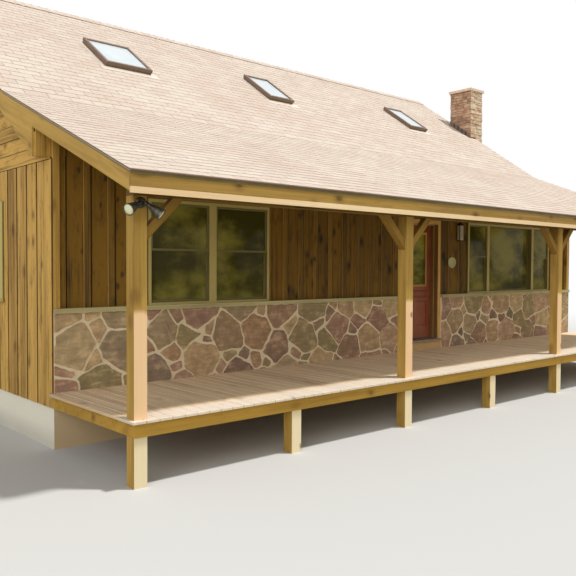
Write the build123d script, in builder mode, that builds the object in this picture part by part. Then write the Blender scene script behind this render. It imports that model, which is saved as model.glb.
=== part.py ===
from build123d import *
import math
import os

# A small gabled cabin with a stone wainscot, board walls and a timber-framed front porch.
# Millimetres, +Z up from the ground. Distances along the house are counted from its left
# gable face, distances in depth from the outer face of its front wall, porch side negative.

# House body
HOUSE_LENGTH = 11950
HOUSE_DEPTH = 8670
WALL = 150
HEADER_HEIGHT = 462
FOUNDATION_TOP = 475
FOUNDATION_THICK = 250
FLOOR_TOP = 800
FLOOR_SHEET = 40
FLOOR_JOIST_THICK = 50
FLOOR_JOIST_SPACING = 600

# Roof, as rise per run
MAIN_SLOPE = 0.686
PORCH_SLOPE = 0.402
MAIN_ROOF_THICK = 243
PORCH_ROOF_THICK = 43
SHINGLE_THICK = 12
SHINGLE_OUT = 15
EAVE_OUT = 2225
BREAK_IN = 895
BACK_EAVE_OUT = 300
RAKE_OUT = 205
BARGE_THICK = 25
BARGE_DROP = 285
PORCH_BARGE_DROP = 205
RIDGE_CAP_THICK = 14
RIDGE_CAP_REACH = 150

# Porch timber
POST = 140
BAYS = 3
POST_LINE_OUT = 1900
POST_INSET = 35
BEAM_HEIGHT = 185
RAFTER_NOTCH = 24
RAFTER_THICK = 38
RAFTER_DEPTH = 150
RAFTER_SPACING = 610
BRACE = 89
BRACE_LEG = 430
FASCIA_THICK = 25
FASCIA_HEIGHT = 143
FASCIA_TRIM_THICK = 20
FASCIA_TRIM_HEIGHT = 58
BACK_FASCIA_HEIGHT = 185

# Porch deck
DECK_TOP = 650
DECK_BOARD = 30
DECK_NOSING = 45
DECK_SIDE_OUT = 75
DECK_RIM = 38
DECK_RIM_HEIGHT = 135
DECK_RIM_OUT = 1986
DECK_JOIST_SPACING = 480
DECK_GAP = 5

# Stone wainscot and its ledge
STONE_THICK = 80
LEDGE_TOP = 1607
LEDGE_THICK = 55
LEDGE_OUT = 115

# Front door
DOOR_TO_WINDOW = 963
DOOR_WIDTH = 915
DOOR_HEIGHT = 2030
DOOR_THICK = 45
DOOR_GAP = 5
DOOR_SILL_GAP = 8
DOOR_RAIL = 125
DOOR_TOP_RAIL = 135
DOOR_BOTTOM_RAIL = 215
DOOR_GLASS_LOW = 920
DOOR_PANEL_BAND = 130
PANEL_RECESS = 12
PANEL_BEVEL = 30
GLASS_FRAME = 28
JAMB = 32
DOOR_CASING = 75
STOP = 14
STOP_DEPTH = 60
THRESHOLD_THICK = 22
THRESHOLD_OUT = 150
KNOB_RADIUS = 28
KNOB_NECK = 9
KNOB_PLATE_THICK = 8
KNOB_LENGTH = 62
KNOB_BACKSET = 62
KNOB_HEIGHT = 960
HINGE_RADIUS = 7
HINGE_HEIGHT = 90
HINGE_PLATE = 26
HINGE_PLATE_THICK = 3
HINGE_PLACES = (230, 1015, 1800)

# Windows
SLIM_CASING = 20
FLAT_CASING = 85
CASING_OUT = 48
WINDOW_FRAME = 20
SASH = 30
SASH_THICK = 30
SASH_OUT = 36
FIXED_SET_BACK = 40
SASH_SPLIT = 0.53
MULLION_WIDTH = 76
NARROW_MULLION_WIDTH = 40
GLASS = 6
WINDOW_HEAD_DROP = 434
LEDGE_STOOL = 10
SILL_STOOL = 43
PAIR_LEFT = 1265
PAIR_UNIT_WIDTH = 926
TRIPLE_IN = 842
TRIPLE_SIDE = 640
TRIPLE_CENTRE = 1610
SIDE_WINDOW_IN = 1480
SIDE_WINDOW_BOTTOM = 1673
SIDE_WINDOW_TOP = 2835
SILL_HEIGHT = 40
SILL_OUT = 75
SILL_EAR = 10
BACK_WINDOW_IN = 2000

# Skylights
SKYLIGHT_WIDE = 800
SKYLIGHT_NARROW = 580
SKYLIGHT_RUN = 790
SKYLIGHT_IN = 2315
FIRST_SKYLIGHT = 1870
SECOND_SKYLIGHT = 5170
THIRD_SKYLIGHT_FROM_RIGHT = 2100
CURB = 42
CURB_PROUD = 80
CURB_SEAT = 30
SKYLIGHT_GLASS = 20

# Chimney
CHIMNEY_IN = 2555
CHIMNEY_WIDTH = 590
CHIMNEY_OUT = 500
CHIMNEY_RISE = 780
CAP_THICK = 60
CAP_OVERHANG = 38

# Lights
FLOOD_DROP = 65
FLOOD_PLATE_RADIUS = 52
FLOOD_PLATE_THICK = 28
FLOOD_ARM_RADIUS = 14
FLOOD_ARM_OUT = 50
FLOOD_LAMP_SPACING = 36
FLOOD_LAMP_RADIUS = 62
FLOOD_LAMP_NECK = 24
FLOOD_LAMP_LENGTH = 200
LEFT_LAMP_TURN = -70
LEFT_LAMP_DROOP = 25
RIGHT_LAMP_TURN = 48
RIGHT_LAMP_DROOP = 37
LANTERN_TO_DOOR = 675
LANTERN_UNDER_HEAD = 307
LANTERN_WIDTH = 130
LANTERN_HEIGHT = 300
LANTERN_OUT = 90

# Where the house stands in the model: its whole box is centred on the origin
roof_side_out = RAKE_OUT + SHINGLE_OUT
LEFT = -(roof_side_out + HOUSE_LENGTH + CHIMNEY_OUT + CAP_OVERHANG) / 2 + roof_side_out
FRONT = -(EAVE_OUT + HOUSE_DEPTH + BACK_EAVE_OUT) / 2 + EAVE_OUT
RIGHT = LEFT + HOUSE_LENGTH
BACK = FRONT + HOUSE_DEPTH
RIDGE = FRONT + HOUSE_DEPTH / 2
EAVE = FRONT - EAVE_OUT
BACK_EAVE = BACK + BACK_EAVE_OUT
POST_LINE = FRONT - POST_LINE_OUT
FIRST_POST = LEFT + POST_INSET
LAST_POST = RIGHT - POST_INSET
BAY = (LAST_POST - FIRST_POST) / BAYS

# The door's head carries a header, whose top is the wall plate and sets the roof
door_bottom = FLOOR_TOP + THRESHOLD_THICK + DOOR_SILL_GAP
opening_top = door_bottom + DOOR_HEIGHT + DOOR_GAP + JAMB
WALL_TOP = opening_top + HEADER_HEIGHT
RIDGE_TOP = WALL_TOP + MAIN_ROOF_THICK + MAIN_SLOPE * HOUSE_DEPTH / 2
WINDOW_TOP = WALL_TOP - WINDOW_HEAD_DROP
WINDOW_BOTTOM = LEDGE_TOP + LEDGE_STOOL
CORNER = (Align.MIN, Align.MIN, Align.MIN)


def main_top(y):
    """Height of the shingles of the main roof, which falls both ways from the ridge."""
    return RIDGE_TOP - MAIN_SLOPE * abs(y - RIDGE)


def main_under(y):
    return main_top(y) - MAIN_ROOF_THICK


def out_of_roof(y, out):
    """A point this far out of the front slope, measured square to its shingles."""
    pitch = math.atan(MAIN_SLOPE)
    return (y - out * math.sin(pitch), main_top(y) + out * math.cos(pitch))


def porch_top(y):
    """Height of the shingles of the porch roof, which falls from its break off the main roof."""
    return main_top(FRONT + BREAK_IN) - PORCH_SLOPE * (FRONT + BREAK_IN - y)


def meeting(drop):
    """Where a plane this far under the porch shingles comes out of the main roof's top."""
    lift = porch_top(RIDGE) - drop - RIDGE_TOP
    return RIDGE + lift / (MAIN_SLOPE - PORCH_SLOPE)


BREAK = FRONT + BREAK_IN
EAVE_TOP = porch_top(EAVE)


def block(x0, x1, y0, y1, z0, z1, mode=Mode.ADD):
    """A plain board, slab or opening between two corners."""
    with Locations((x0, y0, z0)):
        Box(x1 - x0, y1 - y0, z1 - z0, align=CORNER, mode=mode)


def prism(points, x0, x1):
    """A piece with one outline in depth and height, the same all along the house."""
    with BuildPart() as piece:
        with BuildSketch(Plane.YZ.offset(x0)):
            with BuildLine():
                Polyline(*points, close=True)
            make_face()
        extrude(amount=x1 - x0)
    return piece.part


def save(piece, label):
    piece.label = label
    export_step(piece, f"parts/{label}.step")


os.makedirs("parts", exist_ok=True)

# The foundation is one ring of masonry, with a crawl space inside it
with BuildPart() as foundation:
    block(LEFT, RIGHT, FRONT - STONE_THICK, BACK, 0, FOUNDATION_TOP)
    block(LEFT + FOUNDATION_THICK, RIGHT - FOUNDATION_THICK,
          FRONT + FOUNDATION_THICK, BACK - FOUNDATION_THICK, 0, FOUNDATION_TOP, Mode.SUBTRACT)
save(foundation.part, "foundation")

# The floor is boarding on joists that bear on the foundation, inside the walls, with a
# tongue out through the doorway
pair_width = 2 * PAIR_UNIT_WIDTH + MULLION_WIDTH
triple_width = 2 * TRIPLE_SIDE + TRIPLE_CENTRE + 2 * NARROW_MULLION_WIDTH
pair_from = LEFT + PAIR_LEFT
triple_from = RIGHT - TRIPLE_IN - triple_width
leaf_right = triple_from - DOOR_TO_WINDOW
leaf_left = leaf_right - DOOR_WIDTH
opening_left = leaf_left - DOOR_GAP - JAMB
opening_right = leaf_right + DOOR_GAP + JAMB
with BuildPart() as house_floor:
    block(LEFT + WALL, RIGHT - WALL, FRONT + WALL, BACK - WALL, FLOOR_TOP - FLOOR_SHEET, FLOOR_TOP)
    block(opening_left, opening_right, FRONT, FRONT + WALL, FOUNDATION_TOP, FLOOR_TOP)
save(house_floor.part, "house_floor")

joist_count = int((HOUSE_LENGTH - 2 * WALL - FLOOR_JOIST_THICK) // FLOOR_JOIST_SPACING)
with BuildPart() as floor_joists:
    for number in range(joist_count + 1):
        joist_at = LEFT + WALL + number * FLOOR_JOIST_SPACING
        block(joist_at, joist_at + FLOOR_JOIST_THICK, FRONT + WALL, BACK - WALL,
              FOUNDATION_TOP, FLOOR_TOP - FLOOR_SHEET)
save(floor_joists.part, "floor_joists")

# The front wall is two lengths with a window in each and a short length over the door
with BuildPart() as front_wall_left:
    block(LEFT, opening_left, FRONT, FRONT + WALL, FOUNDATION_TOP, WALL_TOP)
    block(pair_from, pair_from + pair_width, FRONT, FRONT + WALL,
          WINDOW_BOTTOM, WINDOW_TOP, Mode.SUBTRACT)
save(front_wall_left.part, "front_wall_left")

with BuildPart() as front_wall_right:
    block(opening_right, RIGHT, FRONT, FRONT + WALL, FOUNDATION_TOP, WALL_TOP)
    block(triple_from, triple_from + triple_width, FRONT, FRONT + WALL,
          WINDOW_BOTTOM, WINDOW_TOP, Mode.SUBTRACT)
save(front_wall_right.part, "front_wall_right")

with BuildPart() as front_wall_over_door:
    block(opening_left, opening_right, FRONT, FRONT + WALL, opening_top, WALL_TOP)
save(front_wall_over_door.part, "front_wall_over_door")

# The back wall repeats the pair of sash windows, once near each end
back_windows = (LEFT + BACK_WINDOW_IN, RIGHT - BACK_WINDOW_IN - pair_width)
with BuildPart() as back_wall:
    block(LEFT, RIGHT, BACK - WALL, BACK, FOUNDATION_TOP, WALL_TOP)
    for window_left in back_windows:
        block(window_left, window_left + pair_width, BACK - WALL, BACK,
              SIDE_WINDOW_BOTTOM, SIDE_WINDOW_TOP, Mode.SUBTRACT)
save(back_wall.part, "back_wall")

# The gable walls run up to the underside of the main roof
gable_windows = (FRONT + SIDE_WINDOW_IN, BACK - SIDE_WINDOW_IN - PAIR_UNIT_WIDTH)
for label, wall_from in (("left_gable_wall", LEFT), ("right_gable_wall", RIGHT - WALL)):
    front_face = FRONT + WALL
    back_face = BACK - WALL
    outline = prism(
        [(front_face, FOUNDATION_TOP), (back_face, FOUNDATION_TOP),
         (back_face, main_under(back_face)), (RIDGE, main_under(RIDGE)),
         (front_face, main_under(front_face))],
        wall_from, wall_from + WALL)
    with BuildPart() as gable_wall:
        add(outline)
        for window_from in gable_windows:
            block(wall_from, wall_from + WALL, window_from, window_from + PAIR_UNIT_WIDTH,
                  SIDE_WINDOW_BOTTOM, SIDE_WINDOW_TOP, Mode.SUBTRACT)
    save(gable_wall.part, label)

# The stone wainscot stands on the foundation against the front wall and stops at the
# door casing, under a wooden ledge
casing_left = opening_left + JAMB - DOOR_CASING
casing_right = opening_right - JAMB + DOOR_CASING
ledge_under = LEDGE_TOP - LEDGE_THICK
with BuildPart() as stone_wainscot_left:
    block(LEFT, casing_left, FRONT - STONE_THICK, FRONT, FOUNDATION_TOP, ledge_under)
save(stone_wainscot_left.part, "stone_wainscot_left")

with BuildPart() as stone_wainscot_right:
    block(casing_right, RIGHT, FRONT - STONE_THICK, FRONT, FOUNDATION_TOP, ledge_under)
save(stone_wainscot_right.part, "stone_wainscot_right")

with BuildPart() as stone_ledges:
    for ledge_from, ledge_to in ((LEFT, casing_left), (casing_right, RIGHT)):
        block(ledge_from, ledge_to, FRONT - LEDGE_OUT, FRONT, ledge_under, LEDGE_TOP)
save(stone_ledges.part, "stone_ledges")

# The main roof is a closed slab of rafters, boarding and shingles on each side. Its
# overhang is notched round the chimney, and the front side is open under the skylights
slab_left = LEFT - RAKE_OUT + BARGE_THICK
slab_right = RIGHT + RAKE_OUT - BARGE_THICK
chimney_front = FRONT + CHIMNEY_IN
chimney_back = chimney_front + CHIMNEY_WIDTH
slab_depth = MAIN_ROOF_THICK * math.cos(math.atan(MAIN_SLOPE))
skylight_front = FRONT + SKYLIGHT_IN
skylight_back = skylight_front + SKYLIGHT_RUN
third_skylight = RIGHT - THIRD_SKYLIGHT_FROM_RIGHT
skylights = (
    (LEFT + FIRST_SKYLIGHT, LEFT + FIRST_SKYLIGHT + SKYLIGHT_WIDE),
    (LEFT + SECOND_SKYLIGHT, LEFT + SECOND_SKYLIGHT + SKYLIGHT_NARROW),
    (third_skylight - SKYLIGHT_NARROW, third_skylight))
lap_left = LEFT - roof_side_out
lap_right = RIGHT + roof_side_out


def skylight_prism(x0, x1, margin, low, high):
    """A block square to the front slope, inside a skylight's outline by a margin."""
    step = margin * math.cos(math.atan(MAIN_SLOPE))
    front, back = skylight_front + step, skylight_back - step
    outline = [out_of_roof(front, low), out_of_roof(back, low), out_of_roof(back, high), out_of_roof(front, high)]
    return prism(outline, x0 + margin, x1 - margin)


def shingle_layer(top, low, high):
    """The shingles of one slope, which lap over the boards along its edges."""
    return prism([(low, top(low) - SHINGLE_THICK), (high, top(high) - SHINGLE_THICK),
                  (high, top(high)), (low, top(low))], lap_left, lap_right)


front_slab = prism(
    [(FRONT, main_under(FRONT)), (RIDGE, main_under(RIDGE)), (RIDGE, RIDGE_TOP), (FRONT, main_top(FRONT))],
    slab_left, slab_right)
with BuildPart() as main_roof_front:
    add(front_slab)
    add(shingle_layer(main_top, BREAK, RIDGE))
    block(RIGHT, lap_right, chimney_front, chimney_back,
          main_under(chimney_front), RIDGE_TOP, Mode.SUBTRACT)
    for x0, x1 in skylights:
        add(skylight_prism(x0, x1, 0, -slab_depth - CURB, CURB), mode=Mode.SUBTRACT)
save(main_roof_front.part, "main_roof_front")

back_edge = BACK_EAVE - FASCIA_THICK
with BuildPart() as main_roof_back:
    add(prism(
        [(RIDGE, main_under(RIDGE)), (back_edge, main_under(back_edge)),
         (back_edge, main_top(back_edge)), (RIDGE, RIDGE_TOP)],
        slab_left, slab_right))
    add(shingle_layer(main_top, BACK_EAVE + SHINGLE_OUT, RIDGE))
save(main_roof_back.part, "main_roof_back")

# The porch roof is boarding and shingles laid over the foot of the main roof
porch_edge = EAVE + FASCIA_THICK
porch_seat = meeting(PORCH_ROOF_THICK)
shingle_seat = meeting(SHINGLE_THICK)
with BuildPart() as porch_roof:
    add(prism(
        [(porch_edge, porch_top(porch_edge) - PORCH_ROOF_THICK),
         (porch_seat, porch_top(porch_seat) - PORCH_ROOF_THICK),
         (BREAK, porch_top(BREAK)), (porch_edge, porch_top(porch_edge))],
        slab_left, slab_right))
    add(prism(
        [(EAVE - SHINGLE_OUT, porch_top(EAVE - SHINGLE_OUT) - SHINGLE_THICK),
         (shingle_seat, porch_top(shingle_seat) - SHINGLE_THICK),
         (BREAK, porch_top(BREAK)), (EAVE - SHINGLE_OUT, porch_top(EAVE - SHINGLE_OUT))],
        lap_left, lap_right))
save(porch_roof.part, "porch_roof")

# The ridge is covered with bent shingles
ridge_cap = prism(
    [(RIDGE - RIDGE_CAP_REACH, main_top(RIDGE - RIDGE_CAP_REACH)), (RIDGE, RIDGE_TOP),
     (RIDGE + RIDGE_CAP_REACH, main_top(RIDGE + RIDGE_CAP_REACH)),
     (RIDGE + RIDGE_CAP_REACH, main_top(RIDGE + RIDGE_CAP_REACH) + RIDGE_CAP_THICK),
     (RIDGE, RIDGE_TOP + RIDGE_CAP_THICK),
     (RIDGE - RIDGE_CAP_REACH, main_top(RIDGE - RIDGE_CAP_REACH) + RIDGE_CAP_THICK)],
    lap_left, lap_right)
save(ridge_cap, "ridge_cap")

# The porch eave has a fascia board with a narrow trim board under it, and the back eave
# one fascia
fascia_left = LEFT - RAKE_OUT
fascia_right = RIGHT + RAKE_OUT
fascia_top = EAVE_TOP - SHINGLE_THICK
fascia_low = fascia_top - FASCIA_HEIGHT
with BuildPart() as porch_fascia:
    block(fascia_left, fascia_right, EAVE, porch_edge, fascia_low, fascia_top)
save(porch_fascia.part, "porch_fascia")

with BuildPart() as fascia_trim:
    block(fascia_left, fascia_right, EAVE, EAVE + FASCIA_TRIM_THICK,
          fascia_low - FASCIA_TRIM_HEIGHT, fascia_low)
save(fascia_trim.part, "fascia_trim")

with BuildPart() as back_fascia:
    block(fascia_left, fascia_right, back_edge, BACK_EAVE,
          main_top(BACK_EAVE) - SHINGLE_THICK - BACK_FASCIA_HEIGHT, main_top(BACK_EAVE) - SHINGLE_THICK)
save(back_fascia.part, "back_fascia")

# Each rake has barge boards on both slopes and, in front, a shorter one on the porch
# roof. A closing board ends the main overhang over the front wall. The right ones stop
# at the chimney
for label, barge_from, end_from in (
        ("left_barge_boards", LEFT - RAKE_OUT, slab_left), ("right_barge_boards", slab_right, RIGHT)):
    end_to = LEFT if end_from == slab_left else slab_right
    main_barge = prism(
        [(FRONT, main_top(FRONT) - BARGE_DROP), (RIDGE, RIDGE_TOP - BARGE_DROP),
         (back_edge, main_top(back_edge) - BARGE_DROP), (back_edge, main_top(back_edge) - SHINGLE_THICK),
         (RIDGE, RIDGE_TOP - SHINGLE_THICK), (FRONT, main_top(FRONT) - SHINGLE_THICK)],
        barge_from, barge_from + BARGE_THICK)
    porch_barge = prism(
        [(porch_edge, porch_top(porch_edge) - PORCH_BARGE_DROP),
         (FRONT, porch_top(FRONT) - PORCH_BARGE_DROP), (FRONT, main_top(FRONT) - SHINGLE_THICK),
         (BREAK, porch_top(BREAK) - SHINGLE_THICK), (porch_edge, porch_top(porch_edge) - SHINGLE_THICK)],
        barge_from, barge_from + BARGE_THICK)
    with BuildPart() as barge_boards:
        add(main_barge)
        add(porch_barge)
        block(end_from, end_to, FRONT - BARGE_THICK, FRONT,
              main_top(FRONT) - BARGE_DROP, main_top(FRONT) - SHINGLE_THICK)
        block(RIGHT, fascia_right, chimney_front, chimney_back,
              main_under(chimney_front) - BARGE_DROP, RIDGE_TOP, Mode.SUBTRACT)
    save(barge_boards.part, label)

# The porch beam lies on the posts, and the rafters are notched over it
rafter_drop = PORCH_ROOF_THICK + RAFTER_DEPTH / math.cos(math.atan(PORCH_SLOPE))
beam_front = POST_LINE - POST / 2
beam_back = POST_LINE + POST / 2
beam_top = porch_top(beam_back) - rafter_drop + RAFTER_NOTCH
beam_underside = beam_top - BEAM_HEIGHT
beam_left = FIRST_POST - POST / 2
beam_right = LAST_POST + POST / 2
with BuildPart() as porch_beam:
    block(beam_left, beam_right, beam_front, beam_back, beam_underside, beam_top)
save(porch_beam.part, "porch_beam")

rafter_low = porch_edge
rafter_seat = meeting(rafter_drop)
rafter_top_seat = meeting(PORCH_ROOF_THICK)
tail_drop = FASCIA_HEIGHT + FASCIA_TRIM_HEIGHT
rafter_outline = [
    (rafter_low, max(porch_top(rafter_low) - rafter_drop, fascia_top - tail_drop)),
    (beam_front, porch_top(beam_front) - rafter_drop),
    (beam_front, beam_top), (beam_back, beam_top),
    (beam_back, porch_top(beam_back) - rafter_drop),
    (FRONT, porch_top(FRONT) - rafter_drop), (FRONT, main_top(FRONT)),
    (rafter_top_seat, porch_top(rafter_top_seat) - PORCH_ROOF_THICK),
    (rafter_low, porch_top(rafter_low) - PORCH_ROOF_THICK)]
rafter_count = int((HOUSE_LENGTH - RAFTER_THICK) // RAFTER_SPACING)
rafter_first = LEFT + (HOUSE_LENGTH - RAFTER_THICK - rafter_count * RAFTER_SPACING) / 2
with BuildPart() as porch_rafters:
    for number in range(rafter_count + 1):
        rafter_from = rafter_first + number * RAFTER_SPACING
        add(prism(rafter_outline, rafter_from, rafter_from + RAFTER_THICK))
save(porch_rafters.part, "porch_rafters")

# The posts stand on the deck. Mitred knee braces run from them up to the beam
post_places = [FIRST_POST + number * BAY for number in range(BAYS + 1)]
for number, post_at in enumerate(post_places):
    with BuildPart() as porch_post:
        block(post_at - POST / 2, post_at + POST / 2, beam_front, beam_back, DECK_TOP, beam_underside)
    save(porch_post.part, f"porch_post_{number + 1}")

brace_sides = [(place, side) for place in post_places for side in (-1, 1)
               if FIRST_POST <= place + side * BRACE_LEG <= LAST_POST]
brace_face = BRACE * math.sqrt(2)
with BuildPart() as knee_braces:
    with BuildSketch(Plane.XZ.offset(-(POST_LINE + BRACE / 2))):
        for place, side in brace_sides:
            foot = place + side * POST / 2
            head = foot + side * BRACE_LEG
            with BuildLine():
                Polyline(
                    (foot, beam_underside - BRACE_LEG), (head, beam_underside),
                    (head - side * brace_face, beam_underside),
                    (foot, beam_underside - BRACE_LEG + brace_face), close=True)
            make_face()
    extrude(amount=BRACE)
save(knee_braces.part, "knee_braces")

# The deck is boards on joists inside a rim, carried by short posts at every half bay
# and by the foundation
deck_left = LEFT - DECK_SIDE_OUT
deck_right = RIGHT + DECK_SIDE_OUT
rim_left = deck_left + DECK_NOSING
rim_right = deck_right - DECK_NOSING
rim_front = FRONT - DECK_RIM_OUT
stone_face = FRONT - STONE_THICK
rim_top = DECK_TOP - DECK_BOARD
rim_low = rim_top - DECK_RIM_HEIGHT
with BuildPart() as porch_deck:
    block(deck_left, deck_right, rim_front - DECK_NOSING, stone_face - DECK_GAP, rim_top, DECK_TOP)
save(porch_deck.part, "porch_deck")

with BuildPart() as deck_rim:
    block(rim_left, rim_right, rim_front, rim_front + 2 * DECK_RIM, rim_low, rim_top)
    block(rim_left, rim_left + DECK_RIM, rim_front, stone_face, rim_low, rim_top)
    block(rim_right - DECK_RIM, rim_right, rim_front, stone_face, rim_low, rim_top)
save(deck_rim.part, "deck_rim")

joist_from = rim_front + 2 * DECK_RIM
deck_joist_count = int((stone_face - DECK_RIM - joist_from) // DECK_JOIST_SPACING)
with BuildPart() as deck_joists:
    for number in range(1, deck_joist_count + 1):
        joist_at = joist_from + number * DECK_JOIST_SPACING
        block(rim_left + DECK_RIM, rim_right - DECK_RIM, joist_at, joist_at + DECK_RIM, rim_low, rim_top)
    block(rim_left + DECK_RIM, rim_right - DECK_RIM, stone_face - DECK_RIM, stone_face, rim_low, rim_top)
save(deck_joists.part, "deck_joists")

with BuildPart() as deck_posts:
    for number in range(2 * BAYS + 1):
        post_at = FIRST_POST + number * BAY / 2
        block(post_at - POST / 2, post_at + POST / 2, beam_front, beam_back, 0, rim_low)
save(deck_posts.part, "deck_posts")


def window_unit(left, low, width, height, depth_at, double_hung=True):
    """The frame and sashes of one window in a wall whose outer face lies at depth_at. The
    frame stands out of the wall to meet its casing, and the sashes are set near its front."""
    with BuildPart() as unit:
        block(left, left + width, depth_at - CASING_OUT, depth_at + WALL, low, low + height)
        block(left + WINDOW_FRAME, left + width - WINDOW_FRAME, depth_at - CASING_OUT, depth_at + WALL,
              low + WINDOW_FRAME, low + height - WINDOW_FRAME, Mode.SUBTRACT)
        for sash_low, sash_high, sash_at in sashes(low, height, depth_at, double_hung):
            block(left + WINDOW_FRAME, left + width - WINDOW_FRAME, sash_at, sash_at + SASH_THICK,
                  sash_low, sash_high)
            block(left + WINDOW_FRAME + SASH, left + width - WINDOW_FRAME - SASH,
                  sash_at, sash_at + SASH_THICK, sash_low + SASH, sash_high - SASH, Mode.SUBTRACT)
    return unit.part


def sashes(low, height, depth_at, double_hung):
    """Bottom, top and outer face of each sash: the upper one slides outside the lower."""
    inner_low = low + WINDOW_FRAME
    inner_high = low + height - WINDOW_FRAME
    if not double_hung:
        return [(inner_low, inner_high, depth_at + FIXED_SET_BACK)]
    middle = inner_low + SASH_SPLIT * (inner_high - inner_low)
    outer_face = depth_at - SASH_OUT
    return [(middle - SASH / 2, inner_high, outer_face),
            (inner_low, middle + SASH / 2, outer_face + SASH_THICK)]


def window_panes(left, low, width, height, depth_at, double_hung=True):
    with BuildPart() as panes:
        for sash_low, sash_high, sash_at in sashes(low, height, depth_at, double_hung):
            pane_at = sash_at + (SASH_THICK - GLASS) / 2
            block(left + WINDOW_FRAME + SASH, left + width - WINDOW_FRAME - SASH,
                  pane_at, pane_at + GLASS, sash_low + SASH, sash_high - SASH)
    return panes.part


def casing(left, low, width, height, depth_at, sill=False):
    """Trim boards round a window opening, on the outer face of the wall: slim ones where
    the window stands on the stone ledge, flat ones and a sill where it doesn't."""
    trim_wide = FLAT_CASING if sill else SLIM_CASING
    stool = SILL_STOOL if sill else LEDGE_STOOL
    with BuildPart() as trim:
        block(left - trim_wide, left + width + trim_wide, depth_at - CASING_OUT, depth_at,
              low - stool, low + height + trim_wide)
        if sill:
            block(left - trim_wide - SILL_EAR, left + width + trim_wide + SILL_EAR, depth_at - SILL_OUT, depth_at,
                  low - stool, low - stool + SILL_HEIGHT)
        block(left, left + width, depth_at - CASING_OUT, depth_at, low, low + height, Mode.SUBTRACT)
    return trim.part


def turned(piece, angle, x, y):
    """A piece drawn for a front wall, turned about Z and set against another wall."""
    return piece.moved(Location((x, y, 0), (0, 0, angle)))


window_height = WINDOW_TOP - WINDOW_BOTTOM
with BuildPart() as front_window_left:
    add(casing(pair_from, WINDOW_BOTTOM, pair_width, window_height, FRONT))
    for unit_left in (pair_from, pair_from + PAIR_UNIT_WIDTH + MULLION_WIDTH):
        add(window_unit(unit_left, WINDOW_BOTTOM, PAIR_UNIT_WIDTH, window_height, FRONT))
    block(pair_from + PAIR_UNIT_WIDTH, pair_from + PAIR_UNIT_WIDTH + MULLION_WIDTH,
          FRONT - CASING_OUT, FRONT + WALL, WINDOW_BOTTOM, WINDOW_TOP)
save(front_window_left.part, "front_window_left")

with BuildPart() as front_glass_left:
    for unit_left in (pair_from, pair_from + PAIR_UNIT_WIDTH + MULLION_WIDTH):
        add(window_panes(unit_left, WINDOW_BOTTOM, PAIR_UNIT_WIDTH, window_height, FRONT))
save(front_glass_left.part, "front_glass_left")

# The window right of the door has a fixed middle pane between two sash windows
triple_units = (
    (triple_from, TRIPLE_SIDE, True),
    (triple_from + TRIPLE_SIDE + NARROW_MULLION_WIDTH, TRIPLE_CENTRE, False),
    (triple_from + TRIPLE_SIDE + TRIPLE_CENTRE + 2 * NARROW_MULLION_WIDTH, TRIPLE_SIDE, True))
with BuildPart() as front_window_right:
    add(casing(triple_from, WINDOW_BOTTOM, triple_width, window_height, FRONT))
    for unit_left, unit_width, double_hung in triple_units:
        add(window_unit(unit_left, WINDOW_BOTTOM, unit_width, window_height, FRONT, double_hung))
    for unit_left, unit_width, double_hung in triple_units[:2]:
        block(unit_left + unit_width, unit_left + unit_width + NARROW_MULLION_WIDTH,
              FRONT - CASING_OUT, FRONT + WALL, WINDOW_BOTTOM, WINDOW_TOP)
save(front_window_right.part, "front_window_right")

with BuildPart() as front_glass_right:
    for unit_left, unit_width, double_hung in triple_units:
        add(window_panes(unit_left, WINDOW_BOTTOM, unit_width, window_height, FRONT, double_hung))
save(front_glass_right.part, "front_glass_right")

# Windows of the other walls are drawn as front windows and turned: single ones in the
# gables, pairs in the back wall
side_height = SIDE_WINDOW_TOP - SIDE_WINDOW_BOTTOM
with BuildPart() as single_frame:
    add(casing(0, SIDE_WINDOW_BOTTOM, PAIR_UNIT_WIDTH, side_height, 0, sill=True))
    add(window_unit(0, SIDE_WINDOW_BOTTOM, PAIR_UNIT_WIDTH, side_height, 0))
single_glass = window_panes(0, SIDE_WINDOW_BOTTOM, PAIR_UNIT_WIDTH, side_height, 0)

with BuildPart() as pair_frame:
    add(casing(0, SIDE_WINDOW_BOTTOM, pair_width, side_height, 0, sill=True))
    for unit_left in (0, PAIR_UNIT_WIDTH + MULLION_WIDTH):
        add(window_unit(unit_left, SIDE_WINDOW_BOTTOM, PAIR_UNIT_WIDTH, side_height, 0))
    block(PAIR_UNIT_WIDTH, PAIR_UNIT_WIDTH + MULLION_WIDTH, -CASING_OUT, WALL, SIDE_WINDOW_BOTTOM, SIDE_WINDOW_TOP)

with BuildPart() as pair_glass:
    for unit_left in (0, PAIR_UNIT_WIDTH + MULLION_WIDTH):
        add(window_panes(unit_left, SIDE_WINDOW_BOTTOM, PAIR_UNIT_WIDTH, side_height, 0))

with BuildPart() as back_window_frames:
    for window_left in back_windows:
        add(turned(pair_frame.part, 180, window_left + pair_width, BACK))
save(back_window_frames.part, "back_window_frames")

with BuildPart() as back_window_glass:
    for window_left in back_windows:
        add(turned(pair_glass.part, 180, window_left + pair_width, BACK))
save(back_window_glass.part, "back_window_glass")

for side in ("left", "right"):
    angle = -90 if side == "left" else 90
    wall_face = LEFT if side == "left" else RIGHT
    with BuildPart() as gable_frames:
        for window_from in gable_windows:
            start = window_from + (PAIR_UNIT_WIDTH if side == "left" else 0)
            add(turned(single_frame.part, angle, wall_face, start))
    save(gable_frames.part, f"{side}_gable_window_frames")
    with BuildPart() as gable_glass:
        for window_from in gable_windows:
            start = window_from + (PAIR_UNIT_WIDTH if side == "left" else 0)
            add(turned(single_glass, angle, wall_face, start))
    save(gable_glass.part, f"{side}_gable_window_glass")

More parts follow.
